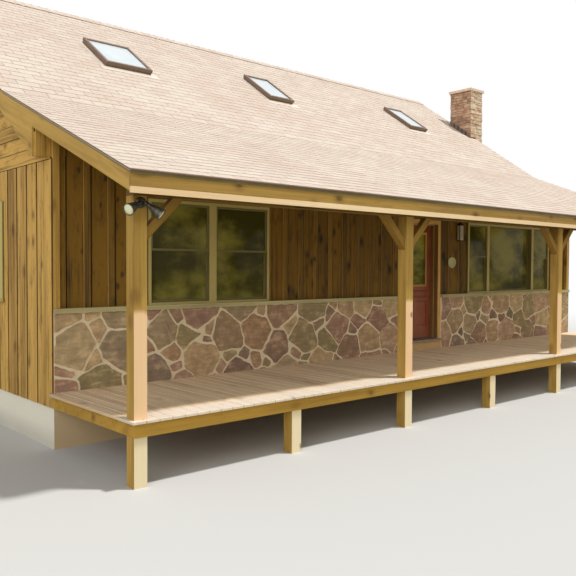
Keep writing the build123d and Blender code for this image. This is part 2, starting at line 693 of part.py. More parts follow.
# Each skylight is a curb square to the main slope, which stands in its opening and out of
# the roof, with its glass let into the top. The first is wider than the other two
with BuildPart() as skylight_frames:
    for x0, x1 in skylights:
        add(skylight_prism(x0, x1, 0, -slab_depth, CURB_PROUD))
        add(skylight_prism(x0, x1, CURB, -slab_depth - CURB, CURB_PROUD + CURB), mode=Mode.SUBTRACT)
save(skylight_frames.part, "skylight_frames")

pane_low = CURB_PROUD - CURB_SEAT
with BuildPart() as skylight_glass:
    for x0, x1 in skylights:
        add(skylight_prism(x0, x1, CURB, pane_low, pane_low + SKYLIGHT_GLASS))
save(skylight_glass.part, "skylight_glass")

# The stone chimney stands against the right gable from the ground up, under a thin cap
chimney_top = main_top(chimney_back) + CHIMNEY_RISE
with BuildPart() as chimney:
    block(RIGHT, RIGHT + CHIMNEY_OUT, chimney_front, chimney_back, 0, chimney_top)
save(chimney.part, "chimney")

with BuildPart() as chimney_cap:
    block(RIGHT - CAP_OVERHANG, RIGHT + CHIMNEY_OUT + CAP_OVERHANG,
          chimney_front - CAP_OVERHANG, chimney_back + CAP_OVERHANG, chimney_top, chimney_top + CAP_THICK)
save(chimney_cap.part, "chimney_cap")

# The door frame is two jambs and a head with a stop outside the leaf, and a flat casing.
# The leaf is set at the inner face of the wall and opens inward on the right jamb
leaf_front = FRONT + WALL - DOOR_THICK
frame_low = FLOOR_TOP
jamb_left = opening_left + JAMB
jamb_right = opening_right - JAMB
head_low = opening_top - JAMB
with BuildPart() as door_frame:
    block(opening_left, opening_right, FRONT, FRONT + WALL, frame_low, opening_top)
    block(jamb_left, jamb_right, FRONT, FRONT + WALL, frame_low, head_low, Mode.SUBTRACT)
    stop_back = leaf_front - DOOR_GAP
    for stop_from in (jamb_left, jamb_right - STOP):
        block(stop_from, stop_from + STOP, stop_back - STOP_DEPTH, stop_back, frame_low + THRESHOLD_THICK, head_low)
    block(jamb_left, jamb_right, stop_back - STOP_DEPTH, stop_back, head_low - STOP, head_low)
    block(casing_left, casing_right, FRONT - CASING_OUT, FRONT, frame_low, head_low + DOOR_CASING)
    block(jamb_left, jamb_right, FRONT - CASING_OUT, FRONT, frame_low, head_low, Mode.SUBTRACT)
save(door_frame.part, "door_frame")

with BuildPart() as door_threshold:
    block(jamb_left, jamb_right, FRONT - THRESHOLD_OUT, FRONT + WALL, FLOOR_TOP, FLOOR_TOP + THRESHOLD_THICK)
save(door_threshold.part, "door_threshold")

# The leaf is stiles and rails round glass in its upper half, with one wide raised panel
# and two upright ones below
glass_low = door_bottom + DOOR_GLASS_LOW
glass_high = door_bottom + DOOR_HEIGHT - DOOR_TOP_RAIL
band_high = glass_low - DOOR_RAIL / 2
band_low = band_high - DOOR_PANEL_BAND
lower_high = band_low - DOOR_RAIL / 2
lower_low = door_bottom + DOOR_BOTTOM_RAIL
leaf_middle = (leaf_left + leaf_right) / 2
panels = (
    (leaf_left + DOOR_RAIL, leaf_right - DOOR_RAIL, band_low, band_high),
    (leaf_left + DOOR_RAIL, leaf_middle - DOOR_RAIL / 4, lower_low, lower_high),
    (leaf_middle + DOOR_RAIL / 4, leaf_right - DOOR_RAIL, lower_low, lower_high))
light = (leaf_left + DOOR_RAIL, leaf_right - DOOR_RAIL, glass_low, glass_high)


def raised_panel(x0, x1, z0, z1, face, outward):
    """The bevelled middle of a panel, rising from its recess to just under the leaf's face."""
    with BuildPart() as panel:
        with BuildSketch(Plane.XZ.offset(-(face - outward * PANEL_RECESS))):
            with Locations(((x0 + x1) / 2, (z0 + z1) / 2)):
                Rectangle(x1 - x0, z1 - z0)
        with BuildSketch(Plane.XZ.offset(-face)):
            with Locations(((x0 + x1) / 2, (z0 + z1) / 2)):
                Rectangle(x1 - x0 - 2 * PANEL_BEVEL, z1 - z0 - 2 * PANEL_BEVEL)
        loft()
    return panel.part


with BuildPart() as door_leaf:
    block(leaf_left, leaf_right, leaf_front, leaf_front + DOOR_THICK, door_bottom, door_bottom + DOOR_HEIGHT)
    block(light[0] + GLASS_FRAME, light[1] - GLASS_FRAME, leaf_front, leaf_front + DOOR_THICK,
          light[2] + GLASS_FRAME, light[3] - GLASS_FRAME, Mode.SUBTRACT)
    for x0, x1, z0, z1 in panels:
        block(x0, x1, leaf_front, leaf_front + PANEL_RECESS, z0, z1, Mode.SUBTRACT)
        block(x0, x1, leaf_front + DOOR_THICK - PANEL_RECESS, leaf_front + DOOR_THICK, z0, z1, Mode.SUBTRACT)
        add(raised_panel(x0, x1, z0, z1, leaf_front, -1))
        add(raised_panel(x0, x1, z0, z1, leaf_front + DOOR_THICK, 1))
save(door_leaf.part, "door_leaf")

with BuildPart() as door_glass:
    pane_at = leaf_front + (DOOR_THICK - GLASS) / 2
    block(light[0] + GLASS_FRAME, light[1] - GLASS_FRAME, pane_at, pane_at + GLASS,
          light[2] + GLASS_FRAME, light[3] - GLASS_FRAME)
save(door_glass.part, "door_glass")

# Three butt hinges hold the leaf at the inner face of the right jamb. The barrel of each
# is fixed to the jamb by its plate, and the leaf turns about it with a hair of clearance
pin_at = leaf_right + DOOR_GAP / 2
leaf_back = leaf_front + DOOR_THICK
with BuildPart() as door_hinges:
    for place in HINGE_PLACES:
        hinge_low = door_bottom + place - HINGE_HEIGHT / 2
        with Locations((pin_at, leaf_back + HINGE_RADIUS, hinge_low)):
            Cylinder(HINGE_RADIUS, HINGE_HEIGHT, align=(Align.CENTER, Align.CENTER, Align.MIN))
        block(jamb_right, jamb_right + HINGE_PLATE, leaf_back, leaf_back + HINGE_PLATE_THICK,
              hinge_low, hinge_low + HINGE_HEIGHT)
save(door_hinges.part, "door_hinges")

# A round knob on each face of the leaf, on the side away from the hinges
knob_at = leaf_left + KNOB_BACKSET
knob_height = door_bottom + KNOB_HEIGHT
ball_from = KNOB_LENGTH - KNOB_RADIUS
ball_middle = KNOB_LENGTH - KNOB_RADIUS / 2
ball_rim = 0.8 * KNOB_RADIUS
knob_profile = [(0, 0), (KNOB_RADIUS, 0), (KNOB_RADIUS, KNOB_PLATE_THICK), (KNOB_NECK, KNOB_PLATE_THICK),
                (KNOB_NECK, ball_from - KNOB_NECK), (ball_rim, ball_from), (KNOB_RADIUS, ball_middle),
                (ball_rim, KNOB_LENGTH - KNOB_NECK / 2), (0, KNOB_LENGTH)]
with BuildPart() as one_knob:
    with BuildSketch(Plane.XZ):
        with BuildLine():
            Polyline(*knob_profile, close=True)
        make_face()
    revolve(axis=Axis.Z)
with BuildPart() as door_knob:
    add(one_knob.part.moved(Location((knob_at, leaf_front, knob_height), (90, 0, 0))))
    add(one_knob.part.moved(Location((knob_at, leaf_front + DOOR_THICK, knob_height), (-90, 0, 0))))
save(door_knob.part, "door_knob")

# A twin floodlight on the first post, under the beam: two lamps on an arm out of a round
# plate, each aimed its own way and down
flood_at = post_places[0]
flood_height = beam_underside - FLOOD_DROP
lamp_from = beam_front - FLOOD_ARM_OUT
with BuildPart() as one_lamp:
    Cone(FLOOD_LAMP_NECK, FLOOD_LAMP_RADIUS, FLOOD_LAMP_LENGTH, align=(Align.CENTER, Align.CENTER, Align.MIN))
with BuildPart() as flood_light:
    for radius, reach in ((FLOOD_PLATE_RADIUS, FLOOD_PLATE_THICK), (FLOOD_ARM_RADIUS, FLOOD_ARM_OUT)):
        with BuildSketch(Plane.XZ.offset(-beam_front)):
            with Locations((flood_at, flood_height)):
                Circle(radius)
        extrude(amount=reach)
    for side, turn, droop in ((-1, LEFT_LAMP_TURN, LEFT_LAMP_DROOP), (1, RIGHT_LAMP_TURN, RIGHT_LAMP_DROOP)):
        stand = Location((flood_at + side * FLOOD_LAMP_SPACING / 2, lamp_from, flood_height), (0, 0, turn))
        add(one_lamp.part.moved(stand * Location((0, 0, 0), (90 + droop, 0, 0))))
save(flood_light.part, "flood_light")

# A small box lantern right of the door
lantern_at = leaf_right + LANTERN_TO_DOOR
lantern_low = opening_top - LANTERN_UNDER_HEAD
with BuildPart() as wall_lantern:
    block(lantern_at - LANTERN_WIDTH / 2, lantern_at + LANTERN_WIDTH / 2,
          FRONT - LANTERN_OUT, FRONT, lantern_low, lantern_low + LANTERN_HEIGHT)
    with Locations((lantern_at, FRONT - LANTERN_OUT / 2, lantern_low + LANTERN_HEIGHT)):
        Cone(LANTERN_OUT / 2, LANTERN_OUT / 8, LANTERN_OUT / 2, align=(Align.CENTER, Align.CENTER, Align.MIN))
save(wall_lantern.part, "wall_lantern")
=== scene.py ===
import math
import random

import bmesh
import bpy
from mathutils import Matrix, Vector, noise


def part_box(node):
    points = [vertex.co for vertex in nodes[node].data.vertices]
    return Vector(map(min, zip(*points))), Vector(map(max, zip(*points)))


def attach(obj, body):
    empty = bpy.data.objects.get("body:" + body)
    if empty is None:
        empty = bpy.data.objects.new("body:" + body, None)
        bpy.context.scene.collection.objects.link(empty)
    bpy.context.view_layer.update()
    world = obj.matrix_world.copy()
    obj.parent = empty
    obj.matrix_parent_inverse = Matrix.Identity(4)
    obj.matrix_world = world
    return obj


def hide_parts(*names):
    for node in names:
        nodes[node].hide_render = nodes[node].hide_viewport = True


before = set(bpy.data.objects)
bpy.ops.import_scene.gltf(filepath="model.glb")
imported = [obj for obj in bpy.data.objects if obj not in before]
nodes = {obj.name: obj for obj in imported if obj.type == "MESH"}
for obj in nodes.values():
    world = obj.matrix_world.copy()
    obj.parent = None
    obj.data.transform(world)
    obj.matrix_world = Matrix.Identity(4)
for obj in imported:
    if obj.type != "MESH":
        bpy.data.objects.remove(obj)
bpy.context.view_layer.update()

# The camera stands off the left front corner of the house, a little above eye height, and
# looks nearly level along the porch.
eye = Vector((-9.4455, -11.224, 2.097))
yaw, pitch, roll = math.radians(48.58), math.radians(-1.717), math.radians(0.244)
forward = Vector((math.cos(pitch) * math.cos(yaw), math.cos(pitch) * math.sin(yaw), math.sin(pitch)))
level_right = forward.cross(Vector((0, 0, 1))).normalized()
level_up = level_right.cross(forward)
right = level_right * math.cos(roll) + level_up * math.sin(roll)
up = right.cross(forward)
lens = bpy.data.cameras.new("photo_camera")
lens.sensor_width = 36
lens.lens = 44.25
lens.clip_end = 400
camera = bpy.data.objects.new("photo_camera", lens)
camera.matrix_world = Matrix.Translation(eye) @ Matrix((right, up, -forward)).transposed().to_4x4()
bpy.context.scene.collection.objects.link(camera)
bpy.context.scene.camera = camera
bpy.context.scene.view_settings.view_transform = "Standard"


# Studio light: a broad key from the right and high up in front, a weak fill from the left,
# and an even pale surround. The floor keeps the shadow and fades to white far away.
class Signal:
    """One value in a finish. Sums written on it add the Math nodes that work them out."""

    def __init__(self, tree, socket):
        self.tree = tree
        self.socket = socket

    def node(self, kind, settings=None, inputs=None, output=0):
        """One node: its settings first, then the values or links of its sockets."""
        made = self.tree.nodes.new("ShaderNode" + kind)
        for name, value in (settings or {}).items():
            if name == "stops":
                stops = made.color_ramp.elements
                stops.remove(stops[1])
                stops[0].position, stops[0].color = value[0][0], (*value[0][1], 1)
                for at, colour in value[1:]:
                    stops.new(at).color = (*colour, 1)
            else:
                setattr(made, name, value)
        for name, value in (inputs or {}).items():
            if isinstance(value, Signal):
                self.tree.links.new(value.socket, made.inputs[name])
            else:
                coloured = made.inputs[name].type == "RGBA"
                made.inputs[name].default_value = (*value, 1) if coloured else value
        return Signal(self.tree, made.outputs[output])

    def math(self, operation, first, second=0.0):
        return self.node("Math", {"operation": operation}, {0: first, 1: second})

    def __add__(self, other):
        return self.math("ADD", self, other)

    __radd__ = __add__

    def __sub__(self, other):
        return self.math("SUBTRACT", self, other)

    def __rsub__(self, other):
        return self.math("SUBTRACT", other, self)

    def __mul__(self, other):
        return self.math("MULTIPLY", self, other)

    __rmul__ = __mul__

    def __gt__(self, other):
        return self.math("GREATER_THAN", self, other)

    def rise(self, start, end):
        """A soft step from 0 at start to 1 at end."""
        return self.node("MapRange", {"interpolation_type": "SMOOTHSTEP"},
                         {"Value": self, "From Min": start, "From Max": end})

    def between(self, low, high):
        """The colour low where this value is 0, high where it is 1."""
        return self.node("Mix", {"data_type": "RGBA"}, {0: self, 6: low, 7: high}, 2)

    def part(self, axis):
        """One of a position's three numbers."""
        return self.node("SeparateXYZ", None, {0: self}, "XYZ".index(axis))

    def facing(self, axis):
        """How far the surface here looks along an axis, from -1 to 1."""
        return self.node("NewGeometry", None, None, "Normal").part(axis)

    def own(self, name, output):
        """What the pieces carry with them: the vector or the value of an attribute."""
        return self.node("Attribute", {"attribute_name": name}, None, output)

    def stretched(self, x, y, z, shift=(0, 0, 0), turn=(0, 0, 0)):
        """A position turned by angles in radians, then scaled along its axes and shifted."""
        placed = self.node("Mapping", None, {"Vector": self, "Rotation": turn})
        return placed.node("Mapping", None, {"Vector": placed, "Scale": (x, y, z), "Location": shift})

    def noise(self, scale, detail=3.0, roughness=0.55):
        return self.node("TexNoise", None, {"Vector": self, "Scale": scale, "Detail": detail,
                                            "Roughness": roughness})


def rgb(red, green, blue):
    """A colour read off a screen, as the linear light that the shaders take."""
    return tuple((c / 255 / 12.92) if c < 11 else ((c / 255 + 0.055) / 1.055) ** 2.4
                 for c in (red, green, blue))


def new_finish(name):
    material = bpy.data.materials.new(name)
    material.use_nodes = True
    tree = material.node_tree
    return material, Signal(tree, tree.nodes.new("ShaderNodeTexCoord").outputs["Object"])


floor_reach, fade_from, fade_to = 150.0, 9.0, 26.0
sheet = bmesh.new()
bmesh.ops.create_grid(sheet, x_segments=1, y_segments=1, size=floor_reach)
floor_mesh = bpy.data.meshes.new("studio_floor")
sheet.to_mesh(floor_mesh)
sheet.free()
floor = bpy.data.objects.new("studio_floor", floor_mesh)
bpy.context.scene.collection.objects.link(floor)
floor_finish, place = new_finish("studio_floor")
shader = floor_finish.node_tree.nodes["Principled BSDF"]
shader.inputs["Roughness"].default_value = 0.95
shader.inputs["Specular IOR Level"].default_value = 0.1
away = place.node("VectorMath", {"operation": "LENGTH"}, {0: place}, 1)
seen = place.node("LightPath", None, None, "Is Camera Ray")
pale = seen.between((0.40, 0.38, 0.28), (0.62, 0.63, 0.64))
place.tree.links.new(pale.socket, shader.inputs["Base Color"])
white = place.node("Emission", None, {"Color": (1.0, 1.0, 1.0), "Strength": 1.0})
whole = place.node("MixShader", None, {0: away.rise(fade_from, fade_to) * seen,
                                       1: Signal(place.tree, shader.outputs[0]), 2: white})
place.tree.links.new(whole.socket, floor_finish.node_tree.nodes["Material Output"].inputs["Surface"])
floor_mesh.materials.append(floor_finish)

world = bpy.data.worlds.new("studio")
world.use_nodes = True
bpy.context.scene.world = world
surround = Signal(world.node_tree, world.node_tree.nodes["Background"].outputs[0])
rays = world.node_tree.nodes.new("ShaderNodeLightPath").outputs
direct = Signal(world.node_tree, rays["Is Camera Ray"])
for ray in ("Is Glossy Ray", "Is Transmission Ray"):
    direct = direct.math("MAXIMUM", direct, Signal(world.node_tree, rays[ray]))
backdrop = surround.node("Background", None, {"Color": (1.0, 1.0, 1.0), "Strength": 1.0})
world.node_tree.nodes["Background"].inputs["Color"].default_value = (1.0, 0.98, 0.91, 1)
world.node_tree.nodes["Background"].inputs["Strength"].default_value = 0.44
both = surround.node("MixShader", None, {0: direct, 1: surround, 2: backdrop})
world.node_tree.links.new(both.socket, world.node_tree.nodes["World Output"].inputs["Surface"])

for name, comes_from, strength, softness, tint in (
        ("key", (0.28, -0.25, 0.92), 2.65, 4.0, (1.0, 0.96, 0.90)),
        ("fill", (-0.75, -0.50, 0.40), 0.88, 40.0, (1.0, 0.98, 0.93))):
    lamp = bpy.data.lights.new(name, "SUN")
    lamp.energy = strength
    lamp.angle = math.radians(softness)
    lamp.color = tint
    lamp_object = bpy.data.objects.new(name, lamp)
    lamp_object.rotation_euler = Vector(comes_from).to_track_quat("Z", "Y").to_euler()
    bpy.context.scene.collection.objects.link(lamp_object)

# The foundation is a poured concrete ring, pale and chalky, with the marks of its form
# boards, darker and damp toward the ground, and browner on its front under the porch,
# where the brown is a painted shade.
house_low, house_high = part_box("foundation")
left_face, right_face = house_low.x, house_high.x
stone_face, back_face = house_low.y, house_high.y
stone_depth = 0.080
front_face = stone_face + stone_depth
foundation_top = house_high.z


def dress(material, colour, roughness, height, relief, **constants):
    """Joins a finish's colour, roughness and relief to its shader."""
    tree = material.node_tree
    shader = tree.nodes["Principled BSDF"]
    bump = height.node("Bump", None, {"Height": height, "Distance": relief})
    for socket, value in (("Base Color", colour), ("Roughness", roughness), ("Normal", bump)):
        if isinstance(value, Signal):
            tree.links.new(value.socket, shader.inputs[socket])
        else:
            shader.inputs[socket].default_value = value
    for name, value in constants.items():
        shader.inputs[name.replace("_", " ")].default_value = value
    return material


def give(material, *names):
    """Puts a finish on CAD nodes."""
    for name in names:
        if not nodes[name].material_slots:
            nodes[name].data.materials.append(None)
        for held in nodes[name].material_slots:
            held.material = material


def darker(share, colour):
    return tuple(share * c for c in colour)


def concrete(name, pale, damp, painted_shade_tone=None):
    material, place = new_finish(name)
    clouds = place.noise(1.3, 5, 0.6)
    pits = place.noise(70, 2, 0.6)
    forms = place.stretched(0.4, 0.4, 26).noise(1.0, 2, 0.5)
    wet = 1 - place.part("Z").rise(0.02, 0.30)
    shade = (clouds * 0.7 + forms * 0.3).between(damp, pale)
    colour = (wet * (0.25 + clouds * 0.45)).between(shade, darker(0.50, damp))
    if painted_shade_tone is not None:
        # The front faces take a brown painted shade.
        painted_shade_front = (place.facing("Y") * -1.0).rise(0.3, 0.8)
        colour = (painted_shade_front * (0.65 + clouds * 0.3)).between(colour, painted_shade_tone)
    return dress(material, colour, 0.86 + pits * 0.1, pits * 0.5 + forms * 0.5 + clouds * 0.4, 0.004)


poured = concrete("poured_concrete", rgb(255, 253, 247), rgb(246, 243, 231), painted_shade_tone=rgb(218, 186, 138))
give(poured, "foundation")


# The floor inside is plain pine boarding on joists, which shows through the open door. All
# the timber of the house is pine like it, sawn to size, with knots, grain and dark streaks.
def wood(name, pale, dark, grain=None, knots=1.0, roughness=0.72, stain=0.35, streaks=0.3, face=None,
         edge=None, painted_sunlight=None, knotty=1.0):
    """Stained pine. The grain runs as each board's own, or turned as given on a CAD timber."""
    material, place = new_finish(name)
    if grain is None:
        run = place.own("grain", "Vector")
        tone = place.own("tone", "Fac")
    else:
        run = grain(place) if callable(grain) else place.stretched(1, 1, 1, turn=grain)
        tone = run.stretched(0.9, 0.6, 0.6).noise(1.0, 1, 0.5)
    bent = run.stretched(2.3 * knotty, 4.0 * knotty, 4.0 * knotty)
    knot = bent.node("TexVoronoi", {"feature": "F1"}, {"Vector": bent, "Scale": 1.0, "Randomness": 1.0})
    knot = knot + run.stretched(10, 26, 26).noise(1.0, 3, 0.6) * 0.12 - 0.06
    core = (1 - knot.rise(0.06 * knotty, 0.13 * knotty)) * knots
    halo = (1 - knot.rise(0.08 * knotty, 0.30 * knotty)) * knots
    broad = run.stretched(0.35, 7, 7).noise(1.0, 3, 0.6)
    lines = run.stretched(1.2, 60, 60).noise(1.0, 4, 0.65)
    fibre = run.stretched(8, 420, 420).noise(1.0, 2, 0.6)
    drips = run.stretched(0.55, 16, 16, shift=(2.0, 5.0, 1.0)).noise(1.0, 3, 0.7).rise(0.52, 0.74)
    smudges = run.stretched(2.4, 9, 9, shift=(7.0, 1.0, 3.0)).noise(1.0, 5, 0.75).rise(0.50, 0.72)
    shade = (broad * 0.95 + lines * 0.55 - 0.25 + tone * stain - halo * 0.40).rise(0.12, 0.95)
    colour = shade.between(dark, pale)
    colour = (drips * streaks).between(colour, darker(0.45, dark))
    colour = (smudges * (0.8 * streaks)).between(colour, darker(0.75, dark))
    # With face given, the side faces take another colour: by default a painted shade, or a painted highlight
    # where the edge colour is pale.
    if face is not None:
        painted_side_light_and_shade = 1 - place.math("ABSOLUTE", place.facing(face))
        colour = (painted_side_light_and_shade.rise(0.5, 0.9) * 0.85).between(colour, edge or darker(0.30, dark))
    # A pale painted sunlight goes where the given function picks out the lit places.
    if painted_sunlight is not None:
        where, painted_sun_tone = painted_sunlight
        painted_sun_colour = (lines * 0.5 + broad * 0.5).rise(0.2, 0.8).between(darker(0.90, painted_sun_tone), painted_sun_tone)
        colour = where(place, broad).between(colour, painted_sun_colour)
    colour = (core * 0.78).between(colour, darker(0.36, dark))
    relief = lines * 0.6 + fibre * 0.3 - core * 0.4
    return dress(material, colour, roughness + fibre * 0.12, relief, 0.0016)


along_x, along_y, along_z = (0, 0, 0), (0, 0, math.pi / 2), (0, math.pi / 2, 0)
give(wood("inside_pine", rgb(205, 170, 120), rgb(150, 112, 70), grain=along_y), "house_floor")
give(wood("joist_pine", rgb(190, 158, 112), rgb(135, 105, 68), grain=along_y), "floor_joists")


# The walls are boarded over their frame. The CAD walls are the frame and its lining:
# plain pine indoors, and outdoors a dark ground, a painted shade, that shows in the gaps
# of the boards.
def lined_wall(name, gap_shade, pale, dark):
    material, place = new_finish(name)
    half_wall, half_board = 0.10, 0.070
    x, y = place.part("X"), place.part("Y")
    from_gables = place.math("MINIMUM", x - left_face, right_face - x)
    from_sides = place.math("MINIMUM", y - front_face, back_face - y)
    indoors = place.math("MINIMUM", from_gables, from_sides) > half_wall
    grain = place.stretched(12, 12, 0.8).noise(1.0, 4, 0.6)
    groove = 1 - place.math("PINGPONG", x + y, half_board).rise(0.001, 0.004)
    boarding = (groove * 0.7).between(grain.rise(0.3, 0.7).between(dark, pale), darker(0.3, dark))
    return dress(material, indoors.between(gap_shade, boarding), 0.75, grain - groove, 0.002)


wall_lining = lined_wall("wall_lining", rgb(50, 34, 18), rgb(222, 190, 140), rgb(172, 134, 88))
give(wall_lining, "front_wall_left", "front_wall_right", "front_wall_over_door", "back_wall",
     "left_gable_wall", "right_gable_wall")


# The gables carry wide upright boards with open joints up to the eaves, and level boards
# over them up to the barge boards. They are nailed on, golden brown and streaked.
class Pile:
    """Like pieces gathered in one mesh. Each keeps its own tone and its own run of grain."""

    def __init__(self, seed):
        self.mesh = bmesh.new()
        self.tone = self.mesh.verts.layers.float.new("tone")
        self.grain = self.mesh.verts.layers.float_vector.new("grain")
        self.draw = random.Random(seed)

    def lay(self, one, along=0, turn=None, tone=None):
        """Adds a piece. Its grain runs along the axis named by number."""
        shift = Vector([self.draw.uniform(0, 9) for _ in range(3)])
        tone = self.draw.random() if tone is None else tone
        copies = {}
        for corner in one.verts:
            co = corner.co
            copy = self.mesh.verts.new(turn @ co if turn else co)
            copy[self.tone] = tone
            copy[self.grain] = Vector((co[along], co[(along + 1) % 3], co[(along + 2) % 3])) + shift
            copies[corner] = copy
        for face in one.faces:
            made = self.mesh.faces.new([copies[corner] for corner in face.verts])
            made.smooth = face.smooth
        one.free()

    def piece(self, name, material, slot, body="house", replaces=()):
        """Turns what was laid into one object of a body, with a finish. The slot is not used."""
        mesh = bpy.data.meshes.new(name)
        self.mesh.to_mesh(mesh)
        self.mesh.free()
        mesh.materials.append(material)
        made = bpy.data.objects.new(name, mesh)
        bpy.context.scene.collection.objects.link(made)
        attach(made, body)
        if replaces:
            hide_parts(*replaces)


def eased(one, geom, offset, segments=1, affect="EDGES"):
    bmesh.ops.bevel(one, geom=geom, offset=offset, offset_type="OFFSET", segments=segments, profile=0.5,
                    affect=affect, material=-1, clamp_overlap=True)


def sawn(low, high, arris=0.0015, segments=1):
    """A board between two corners, with its edges eased."""
    one = bmesh.new()
    bmesh.ops.create_cube(one, size=1)
    bmesh.ops.scale(one, vec=Vector(high) - Vector(low), verts=one.verts)
    bmesh.ops.translate(one, vec=(Vector(high) + Vector(low)) / 2, verts=one.verts)
    if arris:
        eased(one, one.edges[:], arris, segments)
    return one


def outside(area, holes, sliver=0.004):
    """What is left of a rectangle (low, high, low, high) once other rectangles are cut out."""
    left_over = [area]
    for h0, h1, k0, k1 in holes:
        cut = []
        for a0, a1, b0, b1 in left_over:
            if h0 >= a1 or h1 <= a0 or k0 >= b1 or k1 <= b0:
                cut.append((a0, a1, b0, b1))
                continue
            cut += [(a0, h0, b0, b1), (h1, a1, b0, b1),
                    (max(a0, h0), min(a1, h1), b0, k0), (max(a0, h0), min(a1, h1), k1, b1)]
        left_over = [c for c in cut if c[1] - c[0] > sliver and c[3] - c[2] > sliver]
    return left_over


ridge_y = (front_face + back_face) / 2
ridge_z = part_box("main_roof_back")[1].z
main_slope, porch_slope = 0.686, 0.402
break_y = front_face + 0.895


def main_top(y):
    """The height of the main roof's top at a depth. The porch roof starts at break_y."""
    return ridge_z - main_slope * abs(y - ridge_y)


def porch_top(y):
    return main_top(break_y) - porch_slope * (break_y - y)


# The boards' side faces, in the open joints, take a painted shade.
gable_pine, back_pine = [
    wood(name, rgb(224, 180, 98), rgb(104, 68, 26), stain=0.55, streaks=0.75, knots=0.6, face=face)
    for name, face in (("gable_boards", "X"), ("back_wall_pine", "Y"))]
gable_pitch, gable_joint, first_joint, gable_thick, board_ease = 0.310, 0.034, 0.330, 0.024, 0.003
level_from, level_board = 3.300, 0.176
level_joint, frieze_wide, frieze_thick, roof_depth, frieze_gap = 0.007, 0.175, 0.030, 0.245, 0.004
hair, least_board, least_batten, least_peak = 0.002, 0.030, 0.020, 0.05
board_foot = foundation_top + hair
chimney_low, chimney_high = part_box("chimney")
chimney_y = (chimney_low.y, chimney_high.y)


def window_holes(start, span, low, high, ear=0.010, sill=0.042):
    """What a window leaves out of the boards: the place of its casing and of its wider sill."""
    return [(start + ear - hair, start + span - ear + hair, low + sill, high + hair),
            (start - hair, start + span + hair, low - hair, low + sill)]


single_span = 1.116
gable_low, gable_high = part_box("left_gable_window_frames")
gable_holes = [hole for start in (gable_low.y, gable_high.y - single_span)
               for hole in window_holes(start, single_span, gable_low.z, gable_high.z)]
for side, seed, outer, chimney_hole in (("left", 11, left_face - gable_thick, []),
                                        ("right", 12, right_face, [(*chimney_y, 0, chimney_high.z)])):
    boards = Pile(seed)
    holes = gable_holes + chimney_hole
    along, joint_at = stone_face, front_face + first_joint
    while along < back_face - least_board:
        end = min(joint_at - gable_joint / 2, back_face + gable_thick)
        for y0, y1, z0, z1 in outside((along, end, board_foot, level_from), holes):
            boards.lay(sawn((outer, y0, z0), (outer + gable_thick, y1, z1), board_ease), along=2)
        along = end + gable_joint
        joint_at += gable_pitch
    level = level_from + level_joint
    frieze_from = level_from + level_board
    while level < ridge_z - roof_depth - frieze_wide - least_peak:
        cover = roof_depth + (frieze_wide + frieze_gap if level > frieze_from else 0)
        reach = (ridge_z - cover - level) / main_slope
        y0, y1 = max(stone_face, ridge_y - reach), min(back_face + gable_thick, ridge_y + reach)
        for a, b, z0, z1 in outside((y0, y1, level, level + level_board - level_joint), holes):
            joint = a + (b - a) * boards.draw.uniform(0.35, 0.65)
            for c, d in ((a, joint - hair / 2), (joint + hair / 2, b)):
                one = sawn((outer, c, z0), (outer + gable_thick, d, z1), 0)
                for corner in one.verts:
                    if corner.co.z > (z0 + z1) / 2:
                        roof = (ridge_z - cover - corner.co.z) / main_slope
                        corner.co.y = min(max(corner.co.y, ridge_y - roof), ridge_y + roof)
                boards.lay(one, along=1)
        level += level_board
    frieze_low = left_face - frieze_thick if side == "left" else right_face
    for toward in (-1, 1):
        one = sawn((frieze_low, 0, 0), (frieze_low + frieze_thick, 1, 1), 0)
        for corner in one.verts:
            drop = roof_depth + (0 if corner.co.z > 0.5 else frieze_wide)
            down = (ridge_z - drop - frieze_from - frieze_gap) / main_slope
            corner.co.z = ridge_z - drop if corner.co.y < 0.5 else frieze_from + frieze_gap
            corner.co.y = ridge_y + toward * (hair / 2 if corner.co.y < 0.5 else down)
        bmesh.ops.recalc_face_normals(one, faces=one.faces)
        boards.lay(one, along=1, tone=0.7)
    boards.piece(f"{side}_gable_boards", gable_pine, slot="board_siding")

# The back wall has the same upright boards from the foundation to the eave, with the same
# open joints, cut round its two pairs of windows.
boards = Pile(13)
pair_span, back_eave_under = 2.118, 3.350
back_low, back_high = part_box("back_window_frames")
back_holes = [hole for start in (back_low.x, back_high.x - pair_span)
              for hole in window_holes(start, pair_span, back_low.z, back_high.z)]
along = left_face
while along < right_face - least_board:
    end = min(along + gable_pitch - gable_joint, right_face)
    for x0, x1, z0, z1 in outside((along, end, board_foot, back_eave_under), back_holes):
        boards.lay(sawn((x0, back_face, z0), (x1, back_face + gable_thick, z1), board_ease), along=2)
    along = end + gable_joint
boards.piece("back_wall_boards", back_pine, slot="board_siding")

# Under the porch roof the front wall is boards and battens, stained dark brown, standing
# on the ledge. A corner board closes each end.
porch_pine = wood("porch_wall_boards", rgb(134, 98, 22), rgb(46, 31, 6), stain=0.45, streaks=0.8,
                  knots=0.85, knotty=1.5)
# The battens' side faces take a pale painted highlight.
batten_pine = wood("porch_wall_battens", rgb(142, 106, 34), rgb(54, 37, 9), stain=0.45, streaks=0.6,
                   face="Y", edge=rgb(214, 172, 104))
corner_pine = wood("corner_boards", rgb(232, 188, 98), rgb(136, 100, 40), stain=0.3, knots=0.4)
ledge_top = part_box("stone_ledges")[1].z
siding_top, wall_skin = 3.800, 0.012
batten_out, batten_wide, batten_step, first_batten, batten_ease = 0.034, 0.085, 0.310, 0.085, 0.004
